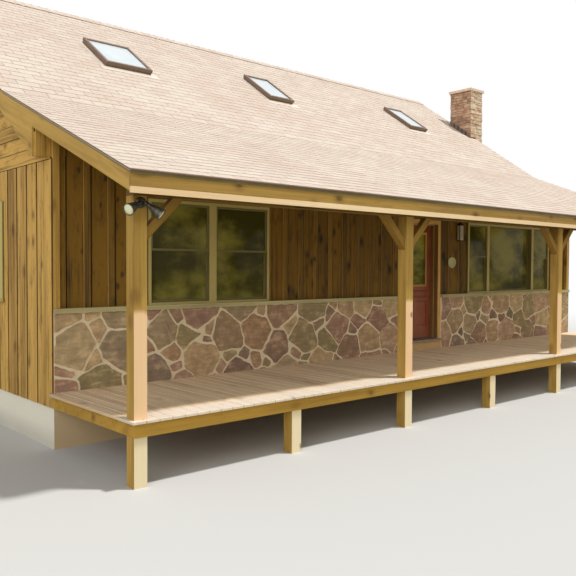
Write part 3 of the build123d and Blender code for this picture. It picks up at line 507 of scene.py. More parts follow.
# The last two numbers give the first bay's boards, up to just past the pair window's left edge, a raised
# tone: a painted light that makes them paler.
board_gap, board_lap, corner_wide, painted_light_tone, painted_light_reach = 0.024, 0.010, 0.080, 2.1, 0.1
pair_low, pair_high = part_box("front_window_left")
triple_low, triple_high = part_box("front_window_right")
door_low, door_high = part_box("door_frame")
front_holes = [(low.x - hair, high.x + hair, low.z, high.z + hair)
               for low, high in ((pair_low, pair_high), (triple_low, triple_high), (door_low, door_high))]
boards, battens, corner_boards = Pile(21), Pile(22), Pile(23)
for x0 in (left_face, right_face - corner_wide):
    one = sawn((x0, stone_face, ledge_top), (x0 + corner_wide, front_face, siding_top), board_ease)
    corner_boards.lay(one, along=2)
along, batten = left_face + corner_wide, left_face + first_batten
wall_end, skin_face = right_face - corner_wide, front_face - wall_skin
while along < wall_end:
    board_end, batten_end = min(batten + board_lap, wall_end), min(batten + batten_wide, wall_end)
    for x0, x1, z0, z1 in outside((along, board_end, ledge_top, siding_top), front_holes, least_board):
        boards.lay(sawn((x0, skin_face, z0), (x1, front_face, z1), 0.001), along=2,
                   tone=painted_light_tone if x1 < pair_low.x + painted_light_reach else None)
    for x0, x1, z0, z1 in outside((batten, batten_end, ledge_top, siding_top), front_holes, least_batten):
        battens.lay(sawn((x0, front_face - batten_out, z0), (x1, skin_face, z1), batten_ease), along=2)
    along = batten + batten_wide + board_gap
    batten += batten_step
boards.piece("porch_wall_boards", porch_pine, slot="board_siding")
battens.piece("porch_wall_battens", batten_pine, slot="board_siding")

# The overhang of the main roof ends at the front wall in a closing board, which carries
# two upright boards and a batten on each side of the house.
return_low, return_high = main_top(front_face) - 0.278, main_top(front_face) + 0.040
return_face, return_wide = front_face - 0.025, 0.178
half_split, half_batten, return_board, return_batten = 0.014, 0.020, 0.012, 0.026
for x0, x1 in ((left_face - return_wide, left_face - hair), (right_face + hair, right_face + return_wide)):
    middle = (x0 + x1) / 2
    for a, b, out in ((x0, middle - half_split, return_board), (middle + half_split, x1, return_board),
                      (middle - half_batten, middle + half_batten, return_batten)):
        one = sawn((a, return_face - out, return_low), (b, return_face, return_high), 0.002)
        corner_boards.lay(one, along=2)
corner_boards.piece("corner_boards", corner_pine, slot="board_siding")


# The wainscot is a mosaic of split fieldstones, mauve, brown and olive, each bedded in a
# pale mortar that stands between them. The CAD wainscot is the mortar bed.
def mortar(name, pale, dark):
    material, place = new_finish(name)
    sand = place.noise(160, 3, 0.7)
    patches = place.noise(3.5, 4, 0.6)
    return dress(material, patches.between(dark, pale), 0.9, sand * 0.6 + place.noise(30, 3) * 0.8, 0.004)


def split_stone(name, shadow, *tones):
    material, place = new_finish(name)
    tone = place.own("tone", "Fac")
    run = place.own("grain", "Vector")
    stops = [(i / (len(tones) - 1), rgb(*each)) for i, each in enumerate(tones)]
    body = tone.node("ValToRGB", {"stops": stops}, {0: tone})
    clouds = run.noise(7.0, 5, 0.65)
    veins = run.stretched(5, 5, 24).noise(1.0, 4, 0.6)
    specks = run.noise(110, 2, 0.7)
    lift = (clouds * 0.6 + veins * 0.4).rise(0.28, 0.74)
    shaded = ((1 - lift) * shadow).between(body, rgb(72, 56, 44))
    dusty = (lift.rise(0.50, 1.0) * 0.50).between(shaded, rgb(236, 206, 168))
    grains = (specks.rise(0.55, 0.75) * 0.16).between(dusty, rgb(236, 220, 196))
    return dress(material, grains, 0.80 + specks * 0.12, clouds + veins * 0.6 + specks * 0.12, 0.006)


beds = ("stone_wainscot_left", "stone_wainscot_right")
give(mortar("wainscot_mortar", rgb(255, 244, 218), rgb(236, 218, 182)), *beds)
fieldstone = split_stone("fieldstone", 0.56, (196, 154, 134), (226, 190, 154), (180, 164, 118),
                         (208, 162, 142), (164, 146, 124), (240, 210, 162), (206, 166, 130), (160, 130, 114))
stone_sizes, tries, farthest, least_area = (0.37, 0.28, 0.20, 0.13), 800, 1.1, 0.0020
bed_margin, rounding, stone_ease = 0.004, 0.026, 0.009
stones = Pile(31)
noise.seed_set(31)
for bed in beds:
    bed_low, bed_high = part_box(bed)
    x0, x1, z0, z1 = bed_low.x + bed_margin, bed_high.x - bed_margin, bed_low.z, bed_high.z
    seeds = []
    for wanted in stone_sizes:
        for _ in range(tries):
            spot = Vector((stones.draw.uniform(x0, x1), 0, stones.draw.uniform(z0, z1)))
            if all(math.hypot(0.8 * (spot.x - s.x), spot.z - s.z) > (wanted + w) / 2 for s, w in seeds):
                seeds.append((spot, wanted * stones.draw.uniform(0.85, 1.15)))
    for spot, size in seeds:
        one = bmesh.new()
        one.faces.new([one.verts.new((x, 0, z)) for x, z in ((x0, z0), (x1, z0), (x1, z1), (x0, z1))])
        for other, other_size in seeds:
            gap = other - spot
            if 0 < gap.length < farthest:
                share = 0.5 + 0.5 * (size ** 2 - other_size ** 2) / gap.length ** 2 * 0.8
                share = min(max(share, 0.25), 0.75)
                joint = stones.draw.uniform(0.009, 0.021)
                bmesh.ops.bisect_plane(
                    one, geom=one.verts[:] + one.edges[:] + one.faces[:], clear_outer=True,
                    plane_co=spot + gap * share - gap.normalized() * joint, plane_no=gap)
        if sum(face.calc_area() for face in one.faces) < least_area:
            one.free()
            continue
        bmesh.ops.dissolve_limit(one, angle_limit=0.12, verts=one.verts[:], edges=one.edges[:])
        eased(one, one.verts[:], rounding, 2, "VERTICES")
        for longest, cuts in ((0.15, 3), (0.045, 1)):
            long_edges = [e for e in one.edges if e.calc_length() > longest]
            bmesh.ops.subdivide_edges(one, edges=long_edges, cuts=cuts)
        for corner in sorted(one.verts, key=lambda v: v.co[:]):
            drift = noise.noise_vector(corner.co * 4.5) * 0.040 + noise.noise_vector(corner.co * 17) * 0.012
            drift += Vector([stones.draw.uniform(-0.003, 0.003) for _ in range(3)])
            corner.co.x = min(max(corner.co.x + drift.x, x0), x1)
            corner.co.z = min(max(corner.co.z + drift.z, z0), z1)
        proud = stones.draw.uniform(0.009, 0.018)
        top = bmesh.ops.extrude_face_region(one, geom=one.faces[:])["geom"]
        crown = sorted((g for g in top if isinstance(g, bmesh.types.BMVert)), key=lambda v: v.co[:])
        bmesh.ops.translate(one, vec=(0, -proud, 0), verts=crown)
        bmesh.ops.translate(one, vec=(0, stone_face + hair, 0), verts=one.verts)
        tilt = stones.draw.uniform(-0.02, 0.02)
        for corner in crown:
            corner.co.y += (corner.co.x - spot.x) * tilt + stones.draw.uniform(-0.002, 0.002)
        eased(one, [e for e in one.edges if all(v in crown for v in e.verts)], stone_ease, 2)
        bmesh.ops.recalc_face_normals(one, faces=one.faces)
        stones.lay(one)
stones.piece("wainscot_stones", fieldstone, slot="fieldstone")

# The ledge is a weathered grey-green plank, laid on the stones on both sides of the door,
# out to the corners of the house.
give(wood("ledge_plank", rgb(214, 204, 158), rgb(162, 152, 108), stain=0.25, roughness=0.8, knots=0.3,
          grain=along_x), "stone_ledges")


# The roof is covered with three-tab asphalt shingles: courses of notched strips, each lying
# over the tail of the one below, pinkish tan with a coarse grit, on boards and felt.
def shingle(name, pale, rosy, dark):
    material, place = new_finish(name)
    tone = place.own("tone", "Fac")
    grit = place.noise(320, 2, 0.8)
    speck = place.noise(90, 3, 0.7)
    patches = place.noise(0.9, 4, 0.6)
    body = (patches * 0.7 + tone * 0.28 + 0.02).rise(0.1, 0.9).between(rosy, pale)
    body = ((1 - speck.rise(0.34, 0.50)) * 0.38).between(body, dark)
    body = (grit.rise(0.56, 0.7) * 0.30).between(body, rgb(240, 230, 220))
    return dress(material, body, 0.93, grit * 0.8 + speck * 0.5, 0.002, Specular_IOR_Level=0.25)


def slope_frame(start_x, start_y, top, way=1):
    """A turn that lays (along, up the slope, out of the roof) on one side of the roof."""
    here = Vector((start_x, start_y, top(start_y)))
    uphill = (Vector((start_x, start_y + way, top(start_y + way))) - here).normalized()
    across = Vector((way, 0, 0))
    return Matrix.Translation(here) @ Matrix((across, uphill, across.cross(uphill))).transposed().to_4x4()


roof_finish = shingle("shingle_tabs", rgb(222, 214, 205), rgb(208, 189, 178), rgb(160, 128, 112))
felt_finish, place = new_finish("roof_deck")
plank = place.stretched(1.2, 9, 9).noise(1.0, 4, 0.6)
boarding = plank.rise(0.3, 0.7).between(rgb(128, 92, 54), rgb(176, 134, 84))
felt = place.noise(60, 3).between(rgb(96, 74, 62), rgb(140, 112, 96))
underside = place.facing("Z") * -1.0 > 0.2
dress(felt_finish, underside.between(felt, boarding), 0.85, plank * 0.7, 0.002)
give(felt_finish, "main_roof_front", "main_roof_back", "porch_roof", "ridge_cap")
roof_low, roof_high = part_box("porch_roof")
lap_left, lap_right, eave_y = roof_low.x, roof_high.x, roof_low.y
lap_wide = lap_right - lap_left
back_eave_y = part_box("main_roof_back")[1].y
main_rake, porch_rake = math.hypot(1, main_slope), math.hypot(1, porch_slope)
skylights = ((left_face + 1.870, left_face + 2.670), (left_face + 5.170, left_face + 5.750),
             (right_face - 2.680, right_face - 2.100))
skylight_from = front_face + 2.315
skylight_run, skylight_climb = 0.790 * main_rake, (skylight_from - break_y) * main_rake
roof_holes = [(x0 - lap_left, x1 - lap_left, skylight_climb, skylight_climb + skylight_run)
              for x0, x1 in skylights]
roof_holes.append((right_face - lap_left, lap_wide + 1, *[(y - break_y) * main_rake for y in chimney_y]))
exposure, head_lap, tab_wide, tab_notch, butt, tail = 0.143, 0.022, 0.305, 0.007, 0.006, 0.0015
first_course, tucked_course, rake_room, least_tab, tab_under = 0.006, -0.012, 0.001, 0.02, 0.001
for name, seed, start, turn, reach, holes in (
        ("porch_shingles", 41, first_course, slope_frame(lap_left, eave_y, porch_top),
         (break_y - eave_y) * porch_rake, []),
        ("front_shingles", 42, tucked_course, slope_frame(lap_left, break_y, main_top),
         (ridge_y - break_y) * main_rake, roof_holes),
        ("back_shingles", 43, first_course, slope_frame(lap_right, back_eave_y, main_top, -1),
         (back_eave_y - ridge_y) * main_rake, [])):
    tabs = Pile(seed)
    for course in range(int(reach / exposure) + 1):
        low = start + course * exposure
        high = min(low + exposure + head_lap, reach)
        if high - low < least_tab:
            continue
        edge = -tab_wide * (0.5 * (course % 2) + tabs.draw.uniform(0.0, 0.04))
        while edge < lap_wide:
            lift = tabs.draw.uniform(0, 0.0015)
            area = (max(edge, rake_room), min(edge + tab_wide - tab_notch, lap_wide - rake_room),
                    low + tabs.draw.uniform(0, 0.003), high)
            for x0, x1, s0, s1 in outside(area, holes):
                one = sawn((x0, s0, -tab_under), (x1, s1, butt + lift), 0)
                for corner in one.verts:
                    if corner.co.y > s0 + 0.01 and corner.co.z > 0:
                        corner.co.z = tail
                tabs.lay(one, turn=turn)
            edge += tab_wide
    tabs.piece(name, roof_finish, slot="shingles")

# Folded caps cover the ridge, cut from the same shingles. They lie one over the next, laid
# toward the chimney.
caps = Pile(44)
cap_reach, cap_top, cap_lap, cap_thick = 0.152, ridge_z + 0.014, 0.02, 0.005
edge = lap_left + rake_room
while edge < lap_right - cap_lap:
    one = bmesh.new()
    fold = []
    for x, lift in ((edge, 0.0065), (min(edge + exposure + cap_lap, lap_right - rake_room), 0.0005)):
        for y in (-cap_reach, 0, cap_reach):
            fold.append(one.verts.new((x, ridge_y + y, cap_top - abs(y) * main_slope + lift)))
    for a in (0, 1):
        one.faces.new((fold[a], fold[a + 3], fold[a + 4], fold[a + 1]))
    bmesh.ops.recalc_face_normals(one, faces=one.faces)
    bmesh.ops.solidify(one, geom=one.faces[:], thickness=cap_thick)
    bmesh.ops.recalc_face_normals(one, faces=one.faces)
    caps.lay(one)
    edge += exposure
caps.piece("ridge_caps", roof_finish, slot="shingles")


# Barge boards and fascias are planed boards stained golden brown. A narrow trim board,
# much paler, runs under the front fascia.
def along_rake(place):
    """Grain that follows the roof's edge up both of its sides and over the porch."""
    away = place.math("ABSOLUTE", place.part("Y") - ridge_y)
    flatter = place.math("MAXIMUM", break_y - place.part("Y"), 0.0) * (main_slope - porch_slope)
    under = place.part("Z") + away * main_slope - flatter
    return place.node("CombineXYZ", None, {0: away * 1.2, 1: under, 2: place.part("X")})


give(wood("barge_boards", rgb(212, 174, 96), rgb(148, 110, 50), grain=along_rake, knots=0.7),
     "left_barge_boards", "right_barge_boards")
give(wood("fascia", rgb(180, 144, 70), rgb(112, 81, 32), grain=along_x, knots=0.8), "porch_fascia",
     "back_fascia")
give(wood("fascia_trim", rgb(254, 230, 190), rgb(230, 190, 140), grain=along_x, knots=0.3, streaks=0.1),
     "fascia_trim")


# A thin metal drip edge is folded over the fascias and the barge boards under the shingles.
# Along the rakes a pale strip of painted highlight stands over a darker strip of painted shadow.
def mottled(name, low, high, patches, dents, roughness=0.5, relief=0.001, metallic=0.0):
    """One tone clouding into another on metal, enamel or glass, with slight dents."""
    material, place = new_finish(name)
    return dress(material, place.noise(*patches).between(low, high), roughness, place.noise(*dents), relief,
                 Metallic=metallic)


# The dark metal is the drip edge's own colour at the eaves and a painted shadow on the rakes; the pale one is
# a painted highlight.
drip_metal_and_painted_shadow = mottled("drip_edge", rgb(84, 72, 40), rgb(140, 126, 74), (4, 3), (9, 2), metallic=0.3)
painted_highlight_metal = mottled("rake_edge", rgb(206, 196, 176), rgb(236, 228, 210), (12, 3), (20, 2), metallic=0.2)
drips, painted_highlight_strips = Pile(45), Pile(47)
barge_out, half_sheet, drip_in, drip_out, drip_sheet = 0.205, 0.0012, 0.014, 0.015, 0.0022
drip_foot, rake_foot, rake_head, drip_room = -0.036, -0.0225, -0.0105, 0.017
for rake_x in (left_face - barge_out - hair, right_face + barge_out + hair):
    for y0, y1, top in ((eave_y + drip_room, break_y, porch_top), (break_y, ridge_y, main_top),
                        (ridge_y, back_eave_y - drip_room, main_top)):
        for strips, low, high in ((drips, drip_foot, rake_foot), (painted_highlight_strips, rake_foot, rake_head)):
            one = sawn((rake_x - half_sheet, y0, low), (rake_x + half_sheet, y1, high), 0)
            for corner in one.verts:
                corner.co.z += top(corner.co.y)
            strips.lay(one)
painted_highlight_strips.piece("painted_highlight_strips", painted_highlight_metal, slot="skylight_metal")
for y0, roof_z in ((eave_y + drip_out - drip_sheet, porch_top(eave_y)),
                   (back_eave_y - drip_out, main_top(back_eave_y))):
    drips.lay(sawn((lap_left + drip_in, y0, roof_z - 0.040),
                   (lap_right - drip_in, y0 + drip_sheet, roof_z - 0.008), 0))
drips.piece("drip_edges", drip_metal_and_painted_shadow, slot="skylight_metal")


# The porch frame is planed pine, stained gold: square posts with mitred knee braces, one
# beam over them, and rafters notched over the beam. Short posts carry the deck.
def lit_below_eave(place, broad):
    """The front faces below the shadow of the eave, where a pale painted sunlight goes."""
    low_down = 1 - (place.part("Z") + broad * 0.12).rise(1.69, 1.76)
    return (place.facing("Y") * -1.0).rise(0.3, 0.8) * low_down * 0.98


def along_brace(place):
    """Grain that leans away from the nearer post, as both of its braces do."""
    first, second = [sum((c.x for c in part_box(post)), 0.0) / 2 for post in ("porch_post_1", "porch_post_2")]
    off_post = place.math("PINGPONG", place.part("X") - first, (second - first) / 2)
    mirrored = place.node("CombineXYZ", None, {0: off_post, 1: place.part("Y"), 2: place.part("Z")})
    return mirrored.stretched(1, 1, 1, turn=(0, math.pi / 4, 0))


# The front faces of the posts below the eave's shadow line take a pale painted sunlight.
for name, painted_sun_tone, posts in (("porch_posts", rgb(255, 216, 172), [f"porch_post_{n}" for n in (1, 2, 3, 4)]),
                              ("deck_posts", rgb(255, 240, 206), ["deck_posts"])):
    give(wood(name, rgb(205, 168, 86), rgb(146, 108, 44), grain=along_z, knots=0.8,
              painted_sunlight=(lit_below_eave, painted_sun_tone)), *posts)
give(wood("porch_beam", rgb(134, 104, 36), rgb(80, 58, 16), grain=along_x, knots=0.8), "porch_beam")
give(wood("porch_rafters", rgb(164, 130, 60), rgb(104, 76, 30), grain=(0, 0, -math.pi / 2)), "porch_rafters")
give(wood("knee_braces", rgb(172, 134, 58), rgb(100, 72, 26), grain=along_brace), "knee_braces")

# Pine boards line the underside of the porch roof over the rafters. They run along the
# house, butted in two lengths.
ceiling_pine = wood("porch_ceiling", rgb(176, 132, 76), rgb(116, 80, 40))
ceiling = Pile(46)
ceiling_wide, ceiling_lap, ceiling_drop, butt_gap = 0.138, 0.17, 0.043, 0.0015
ceiling_turn = slope_frame(left_face - ceiling_lap, eave_y + 0.045, lambda y: porch_top(y) - ceiling_drop)
ceiling_long = right_face - left_face + 2 * ceiling_lap
for course in range(int((front_face - eave_y - 0.05) * porch_rake / ceiling_wide)):
    joint = ceiling.draw.uniform(0.25, 0.75) * ceiling_long
    s0, s1 = course * ceiling_wide + hair, (course + 1) * ceiling_wide - hair
    for x0, x1 in ((0, joint - butt_gap), (joint + butt_gap, ceiling_long)):
        ceiling.lay(sawn((x0, s0, -0.008), (x1, s1, 0.001)), turn=ceiling_turn)
ceiling.piece("porch_ceiling_boards", ceiling_pine, slot="board_siding")

# The deck is boards laid from the wall to the front edge, worn grey, with narrow gaps,
# on a golden rim and joists.
deck_low, deck_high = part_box("porch_deck")


def lit_ends(place, broad):
    """The boards' front ends, past the shadow of the eave, where a pale painted sunlight goes."""
    return (1 - (place.part("Y") + broad * 0.1).rise(deck_low.y + 0.28, deck_low.y + 0.42)) * 0.85


# The deck boards' front ends take a pale painted sunlight.
deck_pine = wood("deck_boards", rgb(250, 226, 192), rgb(190, 158, 124), stain=0.5, knots=0.5, roughness=0.8,
                 painted_sunlight=(lit_ends, rgb(234, 222, 208)))
deck_wide, deck_gap, deck_ease, least_strip = 0.137, 0.007, 0.004, 0.02
decking = Pile(51)
along = deck_low.x
while along < deck_high.x - least_strip:
    end = min(along + deck_wide, deck_high.x)
    sunk = decking.draw.uniform(0.0, 0.002)
    # The tone also rises toward the far end of the deck, a painted light that makes the far boards paler.
    worn = decking.draw.random() * 0.6 + 1.1 * (along - deck_low.x) / (deck_high.x - deck_low.x) - 0.2
    one = sawn((along, deck_low.y, deck_low.z), (end, deck_high.y, deck_high.z - sunk), deck_ease)
    decking.lay(one, along=1, tone=worn)
    along = end + deck_gap
decking.piece("deck_boards", deck_pine, slot="deck_wood", replaces=("porch_deck",))
give(wood("deck_rim", rgb(204, 162, 70), rgb(142, 104, 36), grain=along_x, knots=0.6), "deck_rim",
     "deck_joists")


# Windows are pine frames painted a dull olive, with darker sashes. The front ones stand
# on the ledge; the others have a sill. Their glass is dark and shines, with olive patches
# of painted reflection.
def window_paint(name, casing, sash, axis, edge, outward):
    material, place = new_finish(name)
    outer = ((place.part(axis) - edge) * outward).rise(0.038, 0.046)
    streaks = place.stretched(30, 30, 3).noise(1.0, 3, 0.6)
    worn = place.noise(14, 4, 0.65)
    colour = (streaks.rise(0.5, 0.8) * 0.30).between(outer.between(sash, casing), darker(0.55, casing))
    colour = (worn.rise(0.6, 0.78) * 0.25).between(colour, rgb(190, 180, 130))
    return dress(material, colour, 0.6 + worn * 0.2, streaks * 0.5 + worn * 0.4, 0.001)


casing_olive, sash_olive = rgb(200, 184, 118), rgb(124, 114, 72)
for names, axis, edge, outward in (
        (("front_window_left", "front_window_right"), "Y", front_face, -1.0),
        (("back_window_frames",), "Y", back_face, 1.0),
        (("left_gable_window_frames",), "X", left_face, -1.0),
        (("right_gable_window_frames",), "X", right_face, 1.0)):
    give(window_paint("window_paint_" + names[0], casing_olive, sash_olive, axis, edge, outward), *names)
# The olive patches on the glass are a painted reflection, paler on the porch windows and darker on the open
# walls.
for name, dim, clear, panes_of in (
        ("porch_window_glass", rgb(72, 70, 32), rgb(154, 148, 72), ("front_glass_left", "front_glass_right")),
        ("open_window_glass", rgb(50, 52, 38), rgb(98, 100, 68),
         ("back_window_glass", "left_gable_window_glass", "right_gable_window_glass"))):
    pane_glass, place = new_finish(name)
    ripple = place.stretched(1.5, 1.5, 0.8).noise(1.0, 2, 0.4)
    painted_reflection_patches = place.stretched(1.1, 1.1, 1.6).noise(1.0, 4, 0.6).rise(0.36, 0.66)
    dress(pane_glass, painted_reflection_patches.between(dim, clear), 0.06 + ripple * 0.04, ripple, 0.003, IOR=1.35,
          Specular_IOR_Level=0.11)
    give(pane_glass, *panes_of)

# Skylights are fixed units in brown metal frames, with a pale flashing apron below and
# beside them. Their glass has a pale blue painted reflection of the sky.
bronze, place = new_finish("skylight_bronze")
scuffs = place.noise(40, 3, 0.6)
dress(bronze, scuffs.between(rgb(96, 76, 64), rgb(148, 124, 108)), 0.35 + scuffs * 0.2, scuffs, 0.0008,
      Metallic=0.35)
give(bronze, "skylight_frames")
# The pale blue glass colour is a painted reflection of the sky.
sky_glass, place = new_finish("skylight_glass")
painted_sky_reflection = place.noise(2.2, 3, 0.5)
dress(sky_glass, painted_sky_reflection.between(rgb(180, 196, 210), rgb(220, 230, 236)), 0.06 + painted_sky_reflection * 0.05, painted_sky_reflection, 0.001)
give(sky_glass, "skylight_glass")
apron_metal = mottled("apron_metal", rgb(206, 196, 184), rgb(232, 224, 212), (12, 3), (20, 2), metallic=0.3)
cladding, aprons = Pile(61), Pile(62)
curb_proud, clad_tall, clad_in, clad_out, clad_end = 0.080, 0.045, 0.040, 0.008, 0.012
apron_foot, apron_side, apron_toe, apron_low, apron_high = 0.16, 0.06, 0.10, 0.006, 0.0095
for low_x, high_x in skylights:
    turn = slope_frame((low_x + high_x) / 2, skylight_from, main_top)
    run, half = skylight_run, (high_x - low_x) / 2
    outer, inner = half + clad_out, half - clad_in
    for x0, x1, s0, s1 in ((-outer, outer, -clad_end, clad_in),
                           (-outer, outer, run - clad_in, run + clad_end),
                           (-outer, -inner, clad_in, run - clad_in),
                           (inner, outer, clad_in, run - clad_in)):
        one = sawn((x0, s0, curb_proud - clad_tall), (x1, s1, curb_proud + clad_out), 0.004)
        cladding.lay(one, turn=turn)
    for x0, x1, s0, s1 in ((-half - apron_toe, half + apron_toe, -apron_foot, 0.0),
                           (-half - apron_side, -half, 0.0, run), (half, half + apron_side, 0.0, run)):
        aprons.lay(sawn((x0, s0, apron_low), (x1, s1, apron_high), 0.001), turn=turn)
cladding.piece("skylight_cladding", bronze, slot="skylight_metal")
aprons.piece("skylight_aprons", apron_metal, slot="skylight_metal")

# The chimney is laid in thin flat stones, in rough courses, brown and mauve with bits of
# cream. The CAD chimney is its mortar. A cast slab caps it.
# The mortar is dark, partly its own colour and partly a painted shade in the joints.
give(mortar("chimney_mortar", rgb(150, 126, 104), rgb(96, 78, 64)), "chimney")
give(concrete("chimney_slab", rgb(240, 218, 200), rgb(212, 184, 164)), "chimney_cap")
flat_stone = split_stone("chimney_stone", 0.36, (158, 124, 104), (178, 142, 120), (196, 154, 130),
                         (210, 172, 144), (224, 190, 160), (246, 224, 198), (255, 246, 228))
courses = Pile(71)
bed_joint, course_heights, stone_lengths, last_stone = 0.004, (0.045, 0.055, 0.070, 0.090), (0.09, 0.26), 0.06
rough, smooth, chipped, flat_ease = (0.008, 0.030), (0.004, 0.010), 0.002, 0.005
least_course, least_rest = 0.03, 0.005
roof_under, roof_over, roof_clear, hidden_foot = 0.30, 0.02, 0.03, 0.1
# The front stones take only the palest tones and the left ones darker tones: painted sunlight on the front,
# painted shade on the left.
for side, outward, skin, level, stand_out, painted_light_and_shade_tones in (
        ("front", -1, chimney_low.y, 0.0, rough, (0.62, 1.0)),
        ("back", 1, chimney_high.y, 0.0, rough, (0.0, 1.0)),
        ("right", 1, chimney_high.x, 0.0, rough, (0.0, 1.0)),
        ("left", -1, right_face, main_top(chimney_low.y) - hidden_foot, smooth, (0.05, 0.65))):
    along_house = side in ("front", "back")
    start, finish = (right_face, chimney_high.x) if along_house else chimney_y
    wide = finish - start
    while level < chimney_high.z - least_course:
        tall = min(courses.draw.choice(course_heights), chimney_high.z - level)
        edge = 0.0
        while edge < wide - least_rest:
            size = courses.draw.uniform(*stone_lengths)
            end = edge + size if edge + size < wide - last_stone else wide
            proud = courses.draw.uniform(*stand_out)
            u0, u1 = edge + bed_joint, end - bed_joint
            blocked = []
            if along_house:
                under, over = main_top(skin) - roof_under, main_top(skin) + roof_over
                blocked.append((-1, lap_right - right_face + bed_joint, under, over))
            elif side == "left":
                blocked.append((-1, 9, -1, main_top(chimney_low.y + (u0 + u1) / 2) + roof_clear))
            near, far = sorted((skin - outward * bed_joint, skin + outward * proud))
            for a, b, z0, z1 in outside((u0, u1, level + bed_joint, level + tall - bed_joint), blocked):
                if along_house:
                    one = sawn((start + a, near, z0), (start + b, far, z1), 0)
                else:
                    one = sawn((near, start + a, z0), (far, start + b, z1), 0)
                for corner in one.verts:
                    corner.co += Vector([courses.draw.uniform(-chipped, chipped) for _ in range(3)])
                eased(one, one.edges[:], flat_ease)
                courses.lay(one, tone=courses.draw.uniform(*painted_light_and_shade_tones))
            edge = end
        level += tall
courses.piece("chimney_stones", flat_stone, slot="chimney_stone")

# Lead flashing is stepped into the chimney's side, above the shingles, and lies on them
# along its foot.
lead = mottled("lead_flashing", rgb(112, 98, 90), rgb(150, 134, 122), (9, 3), (14, 3), 0.55, 0.002, 0.3)
flashing = Pile(72)
steps, step_lap, flashed = 5, 0.03, chimney_high.y - chimney_low.y
for step in range(steps):
    y0 = chimney_low.y - 0.02 + step * flashed / steps
    y1 = y0 + flashed / steps + step_lap
    for x0, x1, foot, head in ((0.019, 0.0165, 0.004, 0.10), (0.10, 0.017, 0.006, 0.0095)):
        one = sawn((right_face - x0, y0, 0), (right_face - x1, y1, 1), 0)
        for corner in one.verts:
            corner.co.z = main_top(corner.co.y) + (foot if corner.co.z < 0.5 else head)
        flashing.lay(one)
flashing.piece("chimney_flashing", lead, slot="skylight_metal")


# The front door is panelled, painted dark red, with a tan bead round its glass. Its frame
# and casing are stained pine on a heavy sill, its threshold grey metal, its hinges and
# knob old brass.
def gloss_paint(name, body, worn_tone):
    material, place = new_finish(name)
    brush = place.stretched(60, 60, 4).noise(1.0, 3, 0.6)
    fade = place.noise(3.0, 4, 0.6)
    colour = fade.rise(0.3, 0.8).between(body, worn_tone)
    colour = (brush.rise(0.5, 0.8) * 0.25).between(colour, darker(0.6, body))
    return dress(material, colour, 0.42 + fade * 0.2, brush, 0.0008)


def metal(name, bright, dull, roughness=0.35):
    material, place = new_finish(name)
    tarnish = place.noise(60, 4, 0.7)
    colour = tarnish.rise(0.35, 0.7).between(bright, dull)
    return dress(material, colour, roughness + tarnish * 0.25, tarnish, 0.0005, Metallic=0.9)


give(gloss_paint("door_red", rgb(144, 72, 44), rgb(164, 98, 66)), "door_leaf")
# The frame's faces that do not look out from the wall, its reveals, take a painted shade.
give(wood("door_frame_pine", rgb(238, 192, 118), rgb(176, 128, 70), grain=along_z, knots=0.3, face="Y",
          edge=rgb(110, 80, 42)), "door_frame")
give(metal("old_brass", rgb(176, 140, 74), rgb(120, 92, 48)), "door_knob", "door_hinges")
give(metal("threshold_metal", rgb(168, 164, 156), rgb(120, 116, 108), 0.45), "door_threshold")
# The door's glass carries olive patches of painted reflection.
door_pane, place = new_finish("door_pane")
painted_reflection_clouds = place.stretched(2.0, 2.0, 5.0).noise(1.0, 3, 0.6)
olive = painted_reflection_clouds.rise(0.35, 0.65).between(rgb(96, 96, 24), rgb(160, 156, 52))
dress(door_pane, olive, 0.08 + painted_reflection_clouds * 0.05, painted_reflection_clouds, 0.002, IOR=1.35, Specular_IOR_Level=0.11)
give(door_pane, "door_glass")
sill_pine = wood("door_sill", rgb(216, 178, 126), rgb(168, 130, 84), knots=0.3)
sill = Pile(82)
sill.lay(sawn((door_low.x + hair, stone_face, board_foot),
              (door_high.x - hair, front_face - hair, door_low.z - hair), 0.004))
sill.piece("door_sill", sill_pine, slot="tan_trim")
bead_pine = wood("door_bead", rgb(220, 172, 104), rgb(170, 120, 66), knots=0.0)
leaf_low, leaf_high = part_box("door_leaf")
light_low, light_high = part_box("door_glass")
bead_out, bead_in, bead_wide, bead_reach = 0.007, 0.012, 0.040, 0.026
x0, x1 = light_low.x - bead_reach, light_high.x + bead_reach
z0, z1 = light_low.z - bead_reach, light_high.z + bead_reach
bead = Pile(81)
for face_y, outward in ((leaf_low.y, -1), (leaf_high.y, 1)):
    y0, y1 = sorted((face_y + outward * bead_out, face_y - outward * bead_in))
    for low, high, along in (((x0, y0, z0), (x1, y1, z0 + bead_wide), 0),
                             ((x0, y0, z1 - bead_wide), (x1, y1, z1), 0),
                             ((x0, y0, z0 + bead_wide), (x0 + bead_wide, y1, z1 - bead_wide), 2),
                             ((x1 - bead_wide, y0, z0 + bead_wide), (x1, y1, z1 - bead_wide), 2)):
        bead.lay(sawn(low, high, 0.004, 2), along=along)
bead.piece("door_glass_bead", bead_pine, body="front_door", slot="tan_trim")


# A twin floodlight hangs at the top of the first post: two aluminium bells on swivels,
# with frosted lenses. It stands where the CAD one does.
def turned(turns, *outline):
    """A solid of revolution about Z from its outline, radius first."""
    one = bmesh.new()
    line = [one.verts.new((radius, 0, height)) for radius, height in outline]
    for a, b in zip(line, line[1:]):
        one.edges.new((a, b))
    bmesh.ops.spin(one, geom=one.verts[:] + one.edges[:], cent=(0, 0, 0), axis=(0, 0, 1), dvec=(0, 0, 0),
                   angle=2 * math.pi, steps=turns, use_merge=True)
    bmesh.ops.remove_doubles(one, verts=one.verts, dist=0.00005)
    bmesh.ops.recalc_face_normals(one, faces=one.faces)
    for face in one.faces:
        face.smooth = True
    return one


